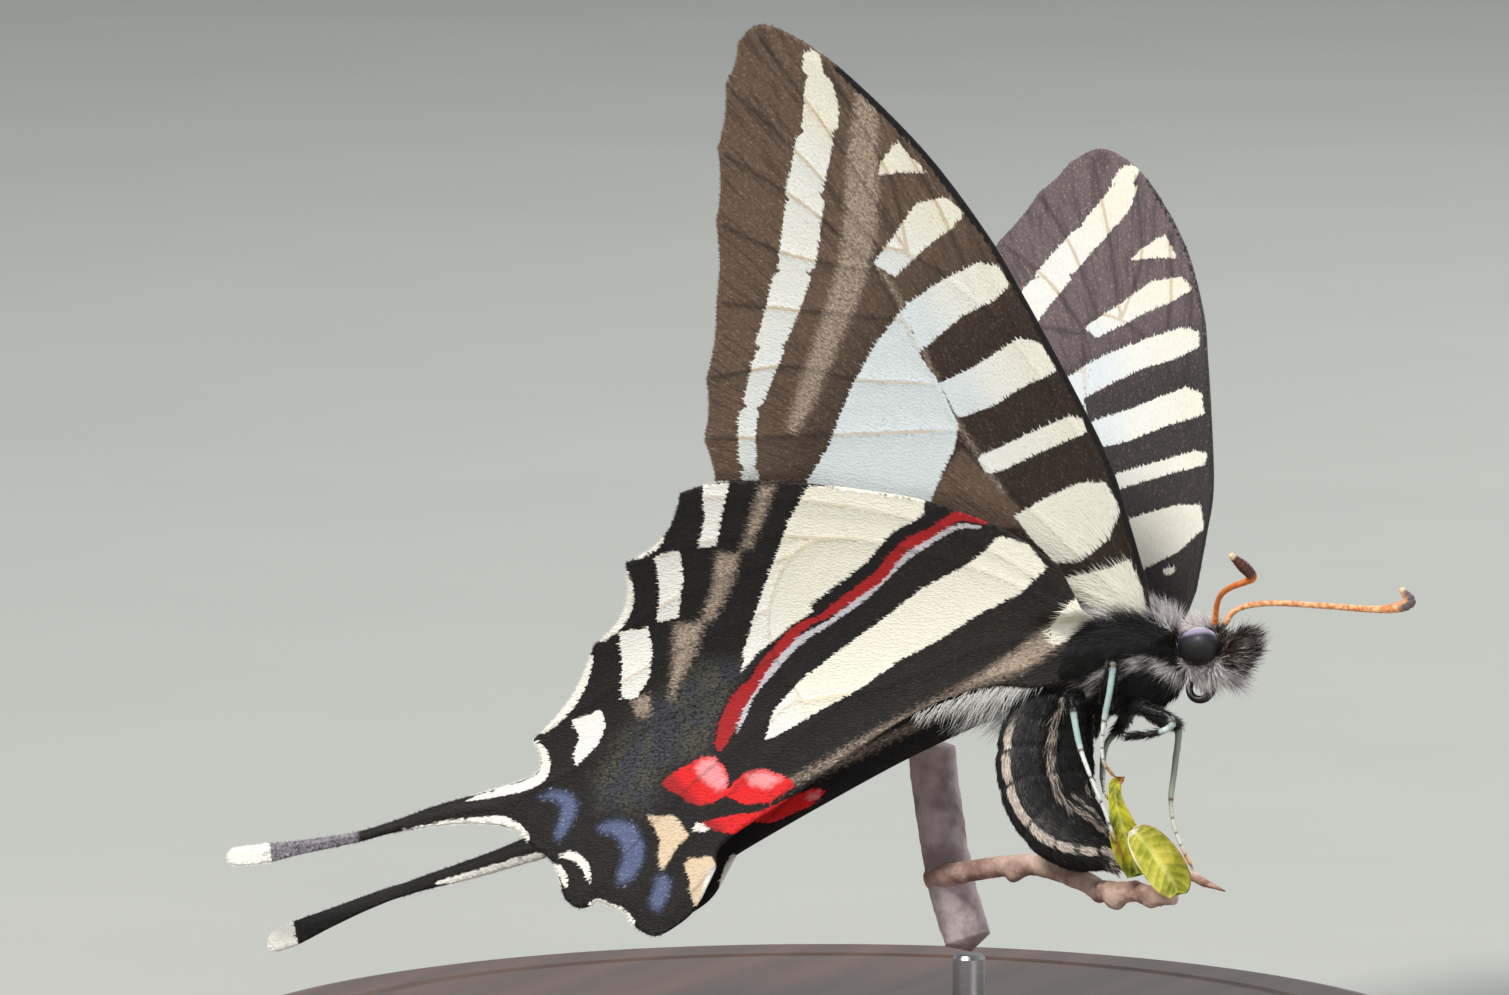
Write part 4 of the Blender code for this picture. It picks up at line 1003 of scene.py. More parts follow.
def hind_height(p):
    """The hindwing lies outside the forewing and bends upright below the hinge line."""
    bend = math.tan(math.radians(OPENING)) * BEND_WIDTH * np.log1p(np.exp(-p[:, 1] / BEND_WIDTH))
    sink = ROOT_SINK * ramp(p[:, 0], -6.5, -3.0) * ramp(-p[:, 1], -0.8, 0.6)
    return fore_height(p) + LAYER + bend - sink


def tail_place(points, tail_line):
    """Share along the tail, and distance from it."""
    return nearest_on_line(points, smooth_line(tail_line, 4)[:, :2], -0.5, 4.0)[:2]


ROOT_DOT = (-0.9, 2.67)
BAND_OFFSETS = [0.1, -0.12, 0.08, -0.1, 0.12, -0.1, 0.08, 0.0]
BAND_VEINS = [33.2, 29.8, 26.0, 21.6, 17.2, 13.6, 10.0]


def base_marks(points):
    """Every wing marking, with the painted highlight and painted shade of the red spots, at nothing, to be
    filled in.
    """
    none = np.full(len(points), OUTSIDE)
    names = ("pale", "tan", "cream", "slate", "dust", "black",
             "grey", "red", "pink", "blue", "violet", "fringe")
    marks = {name: none for name in names}
    marks["bright"] = np.zeros(len(points))
    marks["veined"] = np.zeros(len(points))
    return marks


def fore_band(points):
    """The white band: one block to each space between veins, each a little out of line with the next."""
    height = points[:, 1] + 0.12 * (points[:, 0] + 15.0)
    space = np.searchsorted(-np.array(BAND_VEINS), -height)
    moved = points + np.stack([np.array(BAND_OFFSETS)[space], np.zeros(len(points))], 1)
    gap = np.min([np.abs(height - v) for v in BAND_VEINS], axis=0)
    return strokes_depth(moved, [FORE_BAND]) - 0.2 * ramp(-gap, -0.3, -0.04)


def fore_marks(points, dorsal, tail_line=None):
    marks = base_marks(points)
    reach = np.hypot(points[:, 0], points[:, 1])
    dust = ramp(points[:, 1], 16.0, 9.0) * ramp(-points[:, 0], 16.0, 18.0)
    marks["tone"] = 0.35 + 0.65 * ramp(reach, 14, 26)
    pale = np.maximum(marks_depth(points, FORE_PALE), fore_band(points) + (0.12 if dorsal else 0.0))
    if dorsal:
        base = marks_depth(points, FORE_PALE[-1:])
        dot = -np.hypot(points[:, 0] - ROOT_DOT[0], points[:, 1] - ROOT_DOT[1]) + 0.35
        marks["pale"] = np.where(base > -0.6, dot, pale)
    else:
        line = strokes_depth(points, [FORE_CELL_LINE]) - 0.04
        marks["tan"] = np.maximum(strokes_depth(points, [FORE_TAN]), line)
        shaded = marks_depth(points, [CELL_SHADE])
        marks["pale"] = np.minimum(pale, np.maximum(0.3 - shaded, -0.4) + 0.4 * (shaded < -0.3))
        marks["tone"] = np.maximum(marks["tone"], 1.15 * ramp(shaded, -0.4, 0.4))
    costa = line_distance(points, np.array(FORE_FRONT))
    marks["warmth"] = 0.8 - 0.65 * ramp(reach, 7, 14) * ramp(costa, 1.2, 6.5) + 0.3 * ramp(reach, 20, 27)
    marks["black"] = (0.12 if dorsal else 0.3) - costa
    marks["dust"] = dust * 0.5 + OUTSIDE * (1 - dust)
    marks["veined"] = np.maximum(0.7 * ramp(reach, 20, 24), 0.5 * ramp(-points[:, 0], 7.5, 9.5))
    return marks


def bay_fringe(points):
    """White scales in the hollow of each bay of the hindwing's edge."""
    best = np.full(len(points), OUTSIDE)
    ends = [HIND_CORNER] + HIND_TEETH
    for a, b, depth, (half, first, last) in zip(ends, ends[1:], HIND_BAYS, FRINGE_BAYS):
        line = np.array(bay(a, b, depth, 24))
        share = np.clip((np.arange(24) / 24 - first) / (last - first), 0, 1)
        widths = half * np.sin(np.pi * share) ** 0.6
        ways = unit(np.gradient(line, axis=0))
        inward = np.stack([ways[:, 1], -ways[:, 0]], 1)
        inward = inward * np.sign(inward @ np.array([1.0, 0.0]))[:, None]
        centre = line + inward * (widths * 0.8)[:, None]
        kept = widths > 0.03
        best = np.maximum(best, -line_distance(points, centre[kept], widths[kept]))
    return best


def hind_outer_marks(marks, points):
    """Marks that only the hindwing's outer face has: cream, grey line, and red stripe edged with black."""
    corner = marks_depth(points, [ANAL_PALE]) - 0.12
    marks["cream"] = np.maximum(marks_depth(points, [HIND_CREAM]), corner)
    marks["grey"] = strokes_depth(points, [GREY_LINE])
    stripe = strokes_depth(points, [RED_STRIPE])
    above = strokes_depth(points + np.array([0.25, -0.55]), [RED_STRIPE[:9]])
    marks["black"] = np.maximum(above + 0.1, stripe + 0.12)
    marks["red"] = np.maximum(marks["red"], stripe)


def tail_marks(marks, points, tail_line):
    """White along the edge and at the tail's tip, and grey in the middle of the right tail."""
    left = tail_line is LEFT_TAIL
    share, away = tail_place(points, tail_line)
    on_tail = (points[:, 0] < -37.6) & (away < 1.2)
    fringe = np.maximum(strokes_depth(points, FRINGE), bay_fringe(points))
    fringe = np.maximum(fringe, strokes_depth(points, LEFT_TAIL_FRINGE if left else RIGHT_TAIL_FRINGE))
    tip = (share - (0.86 if left else 0.83)) * TAIL_LENGTH
    marks["fringe"] = np.where(on_tail, np.maximum(fringe, tip), fringe)
    if not left:
        greyish = np.minimum((share - 0.55) * TAIL_LENGTH, (0.85 - share) * TAIL_LENGTH)
        marks["violet"] = np.where(on_tail, np.minimum(greyish, 0.25), OUTSIDE)


def hind_marks(points, dorsal, tail_line):
    marks = base_marks(points)
    x, y = points[:, 0], points[:, 1]
    line = strokes_depth(points, [INNER_LINE])
    wider = 0.35 * ramp(x, -5.6, -3.2)
    marks["pale"] = np.maximum(marks_depth(points, HIND_PALE), np.where(x > -5.0, line + wider, OUTSIDE))
    marks["tan"] = np.maximum(marks_depth(points, HIND_TAN), line + 0.2 * ramp(x, -9.5, -6.0))
    marks["tone"] = 0.12 * ramp(x, -20, -10)
    marks["warmth"] = 0.95 - 0.45 * ramp(-x, 18.5, 22)
    marks["slate"] = marks_depth(points, [SLATE])
    spots = marks_depth(points, RED_MARKS)
    marks["red"] = spots
    if not dorsal:
        hind_outer_marks(marks, points)
    # Painted highlight on the upper right of the red spots
    marks["pink"] = marks_depth(points, PINK_HIGHLIGHTS) - 0.02
    marks["blue"] = marks_depth(points, BLUE_MARKS) + 0.12
    marks["veined"] = 0.35 * ramp(-x, 12.0, 16.0)
    tail_marks(marks, points, tail_line)
    # Painted shade: the lower-left part of the red spots keeps the duller red
    shaded_lower_left = ramp(-(x + 26.6) - (y + 5.4), -0.2, 1.3)
    marks["bright"] = ramp(spots, -0.3, -0.1) * (1 - 0.75 * shaded_lower_left * (x < -24.6))
    return marks


MEMBRANE_HALF = 0.11
MARGIN_HALF = 0.05
VEIN_RIDGE = 0.05
VEIN_HALF_WIDTH = 0.2
SAG = 0.055
PLAN_STEP = 0.23
SCALE_STEP = (0.17, 0.2)
SCALE_WIDTH = 0.135
SCALE_LENGTH = 0.25


class Wing:
    """One wing: its outline, veins, surface and markings in its own plane."""

    def __init__(self, name, outline, veins, height, marks, frame, tail_line=None):
        self.name = name
        self.outline = resampled(np.vstack([outline, outline[:1]]), 0.17)[:-1]
        self.loop = np.vstack([self.outline, self.outline[:1]])
        self.veins = [smooth_line(line, 5) for line in veins]
        self.height = height
        self.marks = marks
        self.frame = frame
        self.tail_line = tail_line
        self.low = self.outline.min(0)
        self.size = self.outline.max(0) - self.low

    def vein_distance(self, points):
        return np.min([line_distance(points, line) for line in self.veins], axis=0)

    def edge_distance(self, points):
        return line_distance(points, self.loop)

    def plan(self):
        """Points and triangles of the wing in its plane, closer together along the veins and the edge."""
        points = [self.outline]
        for line in self.veins:
            line = resampled(line, 0.3)
            ways = unit(np.vstack([line[1:] - line[:-1], line[-1:] - line[-2:-1]]))
            across = np.stack([-ways[:, 1], ways[:, 0]], 1) * VEIN_HALF_WIDTH * 0.95
            for rail in (line, line + across, line - across):
                points.append(rail[inside(rail, self.outline) & (self.edge_distance(rail) > 0.1)])
        grid = spread_rows(self, (PLAN_STEP, PLAN_STEP * 0.866))
        grid = grid[inside(grid, self.outline)]
        grid = grid[(self.edge_distance(grid) > 0.13)]
        points.append(grid[self.vein_distance(grid) > VEIN_HALF_WIDTH + 0.1])
        points = np.vstack(points)
        count = len(self.outline)
        edges = [(i, (i + 1) % count) for i in range(count)]
        flat = delaunay_2d_cdt([Vector(p) for p in points], edges, [], 0, 1e-4, False)
        points = np.array([tuple(p) for p in flat[0]])
        triangles = np.array([list(t) for t in flat[2]])
        triangles = triangles[inside(points[triangles].mean(1), self.outline)]
        used, triangles = np.unique(triangles, return_inverse=True)
        return points[used], triangles.reshape(-1, 3)

    def surface(self, points, side, lift=0.0):
        """World points and normals on one face; side 1 is the outer face and -1 the inner one."""
        to_vein = self.vein_distance(points)
        to_edge = self.edge_distance(points)
        step = 0.05
        slope_u = (self.height(points + (step, 0)) - self.height(points - (step, 0))) / (2 * step)
        slope_v = (self.height(points + (0, step)) - self.height(points - (0, step))) / (2 * step)
        normal = unit(np.stack([-slope_u, -slope_v, np.ones(len(points))], 1))
        half = MARGIN_HALF + (MEMBRANE_HALF - MARGIN_HALF) * ramp(to_edge, 0.0, 0.8)
        half = half + VEIN_RIDGE * np.maximum(0.0, 1 - to_vein / VEIN_HALF_WIDTH) * ramp(to_edge, 0.0, 0.6)
        sag = SAG * ramp(to_vein, 0.0, 1.1) * ramp(to_edge, 0.0, 0.5)
        centre = np.stack([points[:, 0], points[:, 1], self.height(points) - sag], 1)
        local = centre + normal * ((half + lift) * side)[:, None]
        return placed(self.frame, local), turned_to(self.frame, normal * side)

    def fields(self, points, dorsal):
        """Markings and grain of one face at each point."""
        found = self.marks(points, dorsal, self.tail_line)
        found["vein"] = 0.1 - self.vein_distance(points)
        away = points - np.array([0.5, -1.5])
        turn = np.arctan2(away[:, 1], -away[:, 0])
        face = np.full(len(points), 7.0 * dorsal)
        found["grain"] = np.stack([turn * 20, np.hypot(away[:, 0], away[:, 1]), face], 1)
        return found

    def bake_place(self, points, dorsal):
        """A point's place on the wing's own unwrap: outer face on the left half, inner on the right."""
        spread = points - self.low
        if self.size[0] > self.size[1]:
            spread = spread[:, ::-1]
            size = self.size[::-1]
        else:
            size = self.size
        k = min(0.46 / size[0], 0.96 / size[1])
        return spread * k + (0.52 if dorsal else 0.02, 0.02)


def wing_blade(wing, materials):
    plan, triangles = wing.plan()
    outer, _ = wing.surface(plan, 1.0)
    inner, _ = wing.surface(plan, -1.0)
    count = len(plan)
    directed = np.vstack([triangles[:, [0, 1]], triangles[:, [1, 2]], triangles[:, [2, 0]]])
    _, first, times = np.unique(np.sort(directed, axis=1), axis=0, return_index=True, return_counts=True)
    rim = directed[first[times == 1]]
    rim_faces = np.vstack([
        np.stack([rim[:, 1], rim[:, 0], rim[:, 0] + count], 1),
        np.stack([rim[:, 1], rim[:, 0] + count, rim[:, 1] + count], 1),
    ])
    faces = np.vstack([triangles, triangles[:, ::-1] + count, rim_faces])
    points = np.vstack([outer, inner])
    faces = faced_out(points, faces)
    face_material = np.repeat((0, 1, 0), (len(triangles), len(triangles), len(rim_faces)))
    attributes = joined([wing.fields(plan, 0), wing.fields(plan, 1)])
    uv = np.vstack([wing.bake_place(plan, False), wing.bake_place(plan, True)])
    name = wing.name + "_blade"
    piece = new_piece(name, points, faces, materials, attributes, uv, face_material)
    corners = faces.copy()
    corners[-len(rim_faces):] %= count
    layer = piece.data.uv_layers["OFBake"]
    layer.data.foreach_set("uv", uv[corners.ravel()].astype(np.float32).ravel())
    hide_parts(wing.name)


def flat_scales(roots, normals, ways, lengths, widths, lifts):
    """Four-sided vanes that lie on a surface and rise a little to their tips."""
    side = unit(np.cross(normals, ways))
    ways = unit(np.cross(side, normals))
    half = side * (widths / 2)[:, None]
    start = roots - ways * (lengths * 0.15)[:, None]
    tip = start + ways * lengths[:, None] + normals * lifts[:, None]
    ridge = start + ways * (lengths * 0.45)[:, None] + normals * (lifts * 0.5 + 0.01)[:, None]
    points = np.stack([start - half, start + half, tip, ridge], 1).reshape(-1, 3)
    base = np.arange(len(roots))[:, None, None] * 4
    pattern = np.array([(0, 1, 3), (1, 2, 3), (2, 0, 3), (0, 2, 1)])
    faces = (base + pattern).reshape(-1, 3)
    return points, faced_out(points, faces)


SCALE_PATCH = np.array([(-1, -1), (1, -1), (0, 1), (0, 0)]) * PATCH


def spread_rows(wing, step):
    """Staggered rows of places over the wing's box."""
    columns = int(wing.size[0] / step[0]) + 2
    rows = int(wing.size[1] / step[1]) + 2
    v, u = np.mgrid[0:rows, 0:columns].astype(float)
    return np.stack([(u + (v % 2) * 0.5) * step[0], v * step[1]], -1).reshape(-1, 2) + wing.low


def scales_at(wing, spots, dorsal, mesh):
    """One mesh part: the scales with the markings of their roots, their face and their unwrap patches."""
    fields = {key: np.repeat(a, 4, axis=0) for key, a in wing.fields(spots, dorsal).items()}
    fields["bake"] = (wing.bake_place(spots, bool(dorsal))[:, None, :] + SCALE_PATCH).reshape(-1, 2)
    return mesh[0], mesh[1], fields, np.full(len(mesh[1]), dorsal)


def face_scales(wing, dorsal, rng):
    """Rows of scales over one face, long and narrow near the wing's root."""
    spots = spread_rows(wing, SCALE_STEP)
    spots = spots + rng.uniform(-0.09, 0.09, spots.shape)
    spots = spots[inside(spots, wing.outline)]
    spots = spots[wing.edge_distance(spots) > 0.06]
    roots, normals = wing.surface(spots, -1.0 if dorsal else 1.0, 0.002)
    radial = unit(spots - np.array([0.5, -1.0]))
    turn = rng.normal(0, 0.16, len(spots))
    way = np.stack([radial[:, 0] * np.cos(turn) - radial[:, 1] * np.sin(turn),
                    radial[:, 0] * np.sin(turn) + radial[:, 1] * np.cos(turn), np.zeros(len(spots))], 1)
    near_root = ramp(np.hypot(spots[:, 0], spots[:, 1]), 7.0, 1.5)
    lengths = SCALE_LENGTH * rng.uniform(0.75, 1.3, len(spots)) * (1 + (0.1 if dorsal else 2.0) * near_root)
    widths = SCALE_WIDTH * rng.uniform(0.8, 1.2, len(spots)) * (1 - 0.6 * near_root)
    lifts = rng.uniform(0.004, 0.024, len(spots)) * (1 + 4.0 * near_root)
    mesh = flat_scales(roots, normals, turned_to(wing.frame, way), lengths, widths, lifts)
    return scales_at(wing, spots, dorsal, mesh)


def fringe_scales(wing, rng):
    """Scales that stand out along the wing's edge."""
    edge = resampled(wing.loop, 0.11)[:-1]
    ahead = np.roll(edge, -1, axis=0) - np.roll(edge, 1, axis=0)
    away = unit(np.stack([ahead[:, 1], -ahead[:, 0]], 1))
    away = np.where(inside(edge + away * 0.05, wing.outline)[:, None], -away, away)
    spots = edge - away * 0.1
    kept = inside(spots, wing.outline) & (np.hypot(edge[:, 0], edge[:, 1]) > 5.0)
    spots, away = spots[kept], away[kept]
    way = unit(away + unit(spots - np.array([0.5, -1.0])) * 0.45)
    way = np.stack([way[:, 0], way[:, 1], rng.normal(0, 0.1, len(way))], 1)
    roots, normals = wing.surface(spots, 1.0, -0.03)
    lengths = rng.uniform(0.2, 0.34, len(spots)) * np.where(away[:, 0] > 0.2, 0.6, 1.0)
    widths = rng.uniform(0.1, 0.16, len(spots))
    lifts = rng.uniform(-0.05, 0.03, len(spots))
    mesh = flat_scales(roots, normals, turned_to(wing.frame, way), lengths, widths, lifts)
    return scales_at(wing, spots, 0, mesh)


def wing_scales(wing, materials, seed):
    """Scales over both faces and a fringe along the edge, each with its root's own colour."""
    rng = np.random.default_rng(seed)
    parts = [face_scales(wing, 0, rng), face_scales(wing, 1, rng), fringe_scales(wing, rng)]
    points, faces, fields = merged(parts)
    assert len(faces) < MOST_TRIANGLES
    uv = fields.pop("bake")
    kinds = np.concatenate([part[3] for part in parts])
    new_piece(wing.name + "_scales", points, faces, materials, fields, uv, kinds, smooth=False)


def hindwing(name, side, placing, tail_line, tail_root, inner):
    outline = hind_outline(tail_line, tail_root, inner)
    veins = HIND_VEINS + [[p[:2] for p in tail_line[:-1]]]
    return Wing(name, outline, veins, hind_height, hind_marks, wing_frame(side, placing), tail_line)


def make_wings():
    outer = wing_material("wing_outer_scales", srgb(17, 13, 11), srgb(52, 39, 31), srgb(104, 83, 68))
    # The inner faces take a darker copy: whites dimmed to 0.8 as painted shade, the dark scales darker and
    # greyer
    inner = wing_material("wing_inner_scales", srgb(15, 13, 13), srgb(40, 34, 36), srgb(94, 80, 84), 0.8)
    fore = fore_outline()
    wings = [
        Wing("forewing_right", fore, FORE_VEINS, fore_height, fore_marks, wing_frame(-1)),
        Wing("forewing_left", fore, FORE_VEINS, fore_height, fore_marks, wing_frame(1, LEFT_FORE)),
        hindwing("hindwing_right", -1, LEVEL, RIGHT_TAIL, RIGHT_TAIL_ROOT, RIGHT_INNER),
        hindwing("hindwing_left", 1, LEFT_HIND, LEFT_TAIL, LEFT_TAIL_ROOT, LEFT_INNER),
    ]
    for i, wing in enumerate(wings):
        wing_blade(wing, [outer, inner])
        wing_scales(wing, [outer, inner], 100 + i)
    return wings


# body skin
SKIN_VOXEL = 0.13


def loft_rings(rows, shrink, sides=40):
    """Closed mesh through upright elliptical sections along the body."""
    spaced = smooth_line(rows, 4)
    turns = ring_turns(sides)
    rings = []
    for x, z, half_y, half_z in spaced:
        y = (half_y - shrink) * np.cos(turns)
        rings.append(np.stack([np.full(sides, x), y, z + (half_z - shrink) * np.sin(turns)], 1))
    ends = np.array([[spaced[0][0], 0, spaced[0][1]], [spaced[-1][0], 0, spaced[-1][1]]])
    return np.vstack(rings + [ends]), tube_faces(len(spaced), sides)


def abdomen_rows(steps=8):
    """Centre line and radii of the abdomen, each segment a little swollen between its joints."""
    rows = smooth_line([(*p, r) for p, r in zip(ABDOMEN, ABDOMEN_RADII)], steps)
    share = np.linspace(0, 1, len(rows))
    joint = np.min([np.abs(share - j) for j in ABDOMEN_JOINTS], axis=0)
    return rows, share, 1 - 0.045 * np.exp(-(joint / 0.012) ** 2)


def abdomen_shell(shrink, steps=8, sides=40):
    rows, _, swell = abdomen_rows(steps)
    radii = (rows[:, 3] - shrink) * swell

    def flat(turns):
        return np.hypot(np.cos(turns) * ABDOMEN_FLATTEN, np.sin(turns))

    return tube_mesh(rows[:, :3], radii, sides, flat)[:2]


def ellipsoid(centre, radii, rows=40, sides=64):
    """Closed ellipsoid and the direction each of its points faces."""
    polar = np.linspace(0, math.pi, rows + 2)[1:-1]
    turns = ring_turns(sides)
    ring = np.stack([np.outer(np.sin(polar), np.cos(turns)), np.outer(np.sin(polar), np.sin(turns)),
                     np.outer(np.cos(polar), np.ones(sides))], -1).reshape(-1, 3)
    facing = np.vstack([ring, [(0, 0, 1), (0, 0, -1)]])
    return np.array(centre) + facing * np.array(radii), np.array(tube_faces(rows, sides)), facing


def skinned(shells):
    """One smooth closed skin over several overlapping shells, as points and triangles."""
    points, faces, _ = merged([(p, f, {}) for p, f in shells])
    mesh = bpy.data.meshes.new("shells")
    mesh.from_pydata(points.tolist(), [], faces.tolist())
    shape = bpy.data.objects.new("shells", mesh)
    bpy.context.scene.collection.objects.link(shape)
    remesh = shape.modifiers.new("one_skin", "REMESH")
    remesh.mode = "VOXEL"
    remesh.voxel_size = SKIN_VOXEL
    relax = shape.modifiers.new("relax", "SMOOTH")
    relax.factor = 0.5
    relax.iterations = 3
    done = shape.evaluated_get(bpy.context.evaluated_depsgraph_get()).to_mesh()
    done.calc_loop_triangles()
    out = np.empty(len(done.vertices) * 3)
    done.vertices.foreach_get("co", out)
    triangles = np.empty(len(done.loop_triangles) * 3, np.int32)
    done.loop_triangles.foreach_get("vertices", triangles)
    shape.evaluated_get(bpy.context.evaluated_depsgraph_get()).to_mesh_clear()
    bpy.data.objects.remove(shape)
    bpy.data.meshes.remove(mesh)
    return out.reshape(-1, 3), triangles.reshape(-1, 3)


def point_normals(points, faces):
    p = points[faces]
    face_normals = np.cross(p[:, 1] - p[:, 0], p[:, 2] - p[:, 0])
    out = np.zeros_like(points)
    for k in range(3):
        np.add.at(out, faces[:, k], face_normals)
    return unit(out)


def along_abdomen(points):
    """Share along the abdomen, angle from its upper middle line in degrees, and the abdomen's way there."""
    share, _, away, way = nearest_on_line(points, abdomen_rows()[0][:, :3])
    upper = unit(np.stack([way[:, 2], np.zeros(len(points)), -way[:, 0]], 1))
    angle = np.degrees(np.arctan2(np.abs(away[:, 1]), np.einsum("ij,ij->i", away, upper)))
    return share, angle, way


def in_thorax(points):
    """Below 1 inside the thorax's own section, growing outward."""
    rows = np.array(THORAX)
    middle = np.interp(points[:, 0], rows[:, 0], rows[:, 1])
    half_y = np.interp(points[:, 0], rows[:, 0], rows[:, 2]) - COAT_THORAX
    half_z = np.interp(points[:, 0], rows[:, 0], rows[:, 3]) - COAT_THORAX
    return np.hypot(points[:, 1] / half_y, (points[:, 2] - middle) / half_z)


def body_region(points):
    """0 head, 1 thorax, 2 abdomen."""
    behind = (points[:, 0] < -1.0) & ((in_thorax(points) > 1.08) | (points[:, 0] < -5.75))
    return np.where(points[:, 0] > 1.95, 0, np.where(behind, 2, 1))


THORAX_TOP = [(-6.0, -0.62), (0.0, -0.66), (0.8, -0.95), (1.6, -1.45), (2.4, -1.85), (3.0, -2.1)]
SIDE_BAND = [(-2.2, -3.7), (-0.85, -3.45), (0.3, -3.2), (0.9, -3.2), (1.4, -3.65), (1.75, -4.1)]
CHEEK_BAND = [(2.3, -3.6), (3.2, -3.9), (4.0, -3.6), (4.5, -3.8)]
DULL_PATCH = [(-3.9, -3.75), (-3.5, -4.56), (-2.5, -4.4), (-1.7, -3.6)]
DASH_ANGLE = [(0, 57), (0.5, 57), (0.7, 63), (0.76, 70), (0.84, 78), (0.89, 105), (0.94, 112), (1.0, 118)]
DASH_BREAKS = [0.15, 0.28, 0.395, 0.55, 0.67, 0.76, 0.86]
STRIPE_ANGLE = [(0, 122), (0.55, 122), (0.63, 128), (0.73, 135), (0.81, 142), (1.0, 150)]


def along_line(value, pairs):
    table = np.array(pairs, float)
    return np.interp(value, table[:, 0], table[:, 1])


def thorax_tone(p):
    side = p[:, [0, 2]]
    edge = along_line(p[:, 0], THORAX_TOP) + noise3(p, 2.5, 14) * 0.16
    top = ramp(p[:, 2], edge - 0.2, edge + 0.12)
    patchy = 0.4 + 0.6 * ramp(noise3(p, 1.5, 8), -0.35, 0.3)
    band = 0.75 * ramp(line_distance(side, np.array(SIDE_BAND)), 0.5, 0.22) * patchy
    dull = 0.55 * ramp(marks_depth(side, [DULL_PATCH]), -0.3, 0.1) * patchy
    return np.maximum.reduce([top * 0.95, band, dull])


def head_tone(p):
    side = p[:, [0, 2]]
    top = 0.9 * ramp(p[:, 2], -1.95, -1.55) * ramp(p[:, 0], 4.3, 3.7)
    cheek = 0.75 * ramp(line_distance(side, np.array(CHEEK_BAND)), 0.5, 0.2) * ramp(p[:, 0], 4.5, 4.1)
    return np.maximum(top, cheek)


def abdomen_tone(p):
    share, angle, _ = along_abdomen(p)
    width = along_line(share, [(0.0, 8.5), (0.7, 8.5), (0.86, 12.5), (1.0, 15.0)])
    dash = ramp(np.abs(angle - along_line(share, DASH_ANGLE)), width + 1.5, width - 1.5)
    gap = np.min([np.abs(share - b) for b in DASH_BREAKS], axis=0)
    dash = dash * ramp(gap, 0.004, 0.012) * ramp(share, 0.1, 0.3)
    broken = ramp(noise3(p, 3.0, 12), -0.5, 0.1)
    hairy = along_line(share, STRIPE_ANGLE)
    stripe = ramp(np.abs(angle - hairy), 8.5, 3.0) * ramp(share, 0.97, 0.85) * (0.35 + 0.65 * broken)
    second = 0.7 * ramp(np.abs(angle - hairy - 19), 6.0, 2.0) * broken
    second = second * ramp(share, 0.5, 0.56) * ramp(share, 0.9, 0.8)
    under = 0.5 * ramp(np.abs(angle - 171), 7.0, 3.0) * ramp(share, 0.42, 0.48) * ramp(share, 0.64, 0.58)
    tip = 0.45 * ramp(share, 0.92, 0.99)
    return np.maximum.reduce([dash, stripe, second, under, tip])


def body_colour(points, region):
    """Tone from black to white, and share of brown, for places on the body."""
    tone = np.zeros(len(points))
    brown = np.zeros(len(points))
    for k, rule in enumerate((head_tone, thorax_tone, abdomen_tone)):
        chosen = region == k
        if chosen.any():
            tone[chosen] = rule(points[chosen])
    face = (region == 0) & (points[:, 0] > 3.6)
    brown[face] = ramp(points[face, 0], 3.6, 4.4) * 0.8
    return {"tone": tone, "brown": brown}


def make_skin():
    palps = []
    for side in (-1, 1):
        line = smooth_line([(x, side * y, z) for x, y, z in PALP], 5)
        radii = np.interp(np.linspace(0, 1, len(line)), np.linspace(0, 1, len(PALP_RADII)), PALP_RADII)
        palps.append(tube_mesh(line, radii - 0.1, 20)[:2])
    shells = [loft_rings(THORAX, COAT_THORAX), loft_rings(NECK, 0.15), loft_rings(HEAD, COAT_HEAD),
              abdomen_shell(COAT_ABDOMEN)] + palps
    points, faces = skinned(shells)
    frame = body_matrix()
    region = body_region(points)
    skin = new_piece("body_skin", placed(frame, points), faces, [skin_material("body_skin_black")],
                     body_colour(points, region))
    for node in ("head", "thorax", "abdomen_front", "abdomen_middle", "abdomen_tip",
                 "palp_left", "palp_right"):
        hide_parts(node)
    return points, faces


# coats
TUFTS = {"head": 12000, "thorax": 19500, "abdomen": 19700}
COAT_LIGHTS = {
    "head": (srgb(168, 158, 160), srgb(238, 230, 228)), "thorax": (srgb(164, 155, 155), srgb(240, 236, 232)),
    "abdomen": (srgb(190, 175, 162), srgb(236, 220, 204)),
}
TUFT_SIDES = np.array([0.0, TAU / 3, 2 * TAU / 3])
TUFT_FACES = np.array([
    (0, 2, 1), (0, 1, 4), (0, 4, 3), (1, 2, 5), (1, 5, 4), (2, 0, 3), (2, 3, 5), (3, 4, 6), (4, 5, 6),
    (5, 3, 6),
])


def tuft_mesh(roots, normals, ways, lengths, widths, droops):
    """Three-sided hairs that leave the surface along ways and bend toward droops."""
    side = unit(np.cross(normals, ways) + 1e-6)
    up = unit(np.cross(ways, side))
    middle = roots + ways * (lengths * 0.5)[:, None]
    tip = roots + ways * lengths[:, None] + droops * (lengths * 0.35)[:, None]
    points = np.empty((len(roots), 7, 3))
    for k, turn in enumerate(TUFT_SIDES):
        ring = side * math.cos(turn) + up * math.sin(turn)
        points[:, k] = roots - ways * 0.04 + ring * (widths * 0.5)[:, None]
        points[:, 3 + k] = middle + droops * (lengths * 0.06)[:, None] + ring * (widths * 0.42)[:, None]
    points[:, 6] = tip
    faces = (np.arange(len(roots))[:, None, None] * 7 + TUFT_FACES).reshape(-1, 3)
    points = points.reshape(-1, 3)
    return points, faced_out(points, faces)


TUFT_PATCH = np.array([(-1, -1), (1, -1), (0, -1), (-0.6, 0), (0.6, 0), (0, 0), (0, 1)]) * PATCH


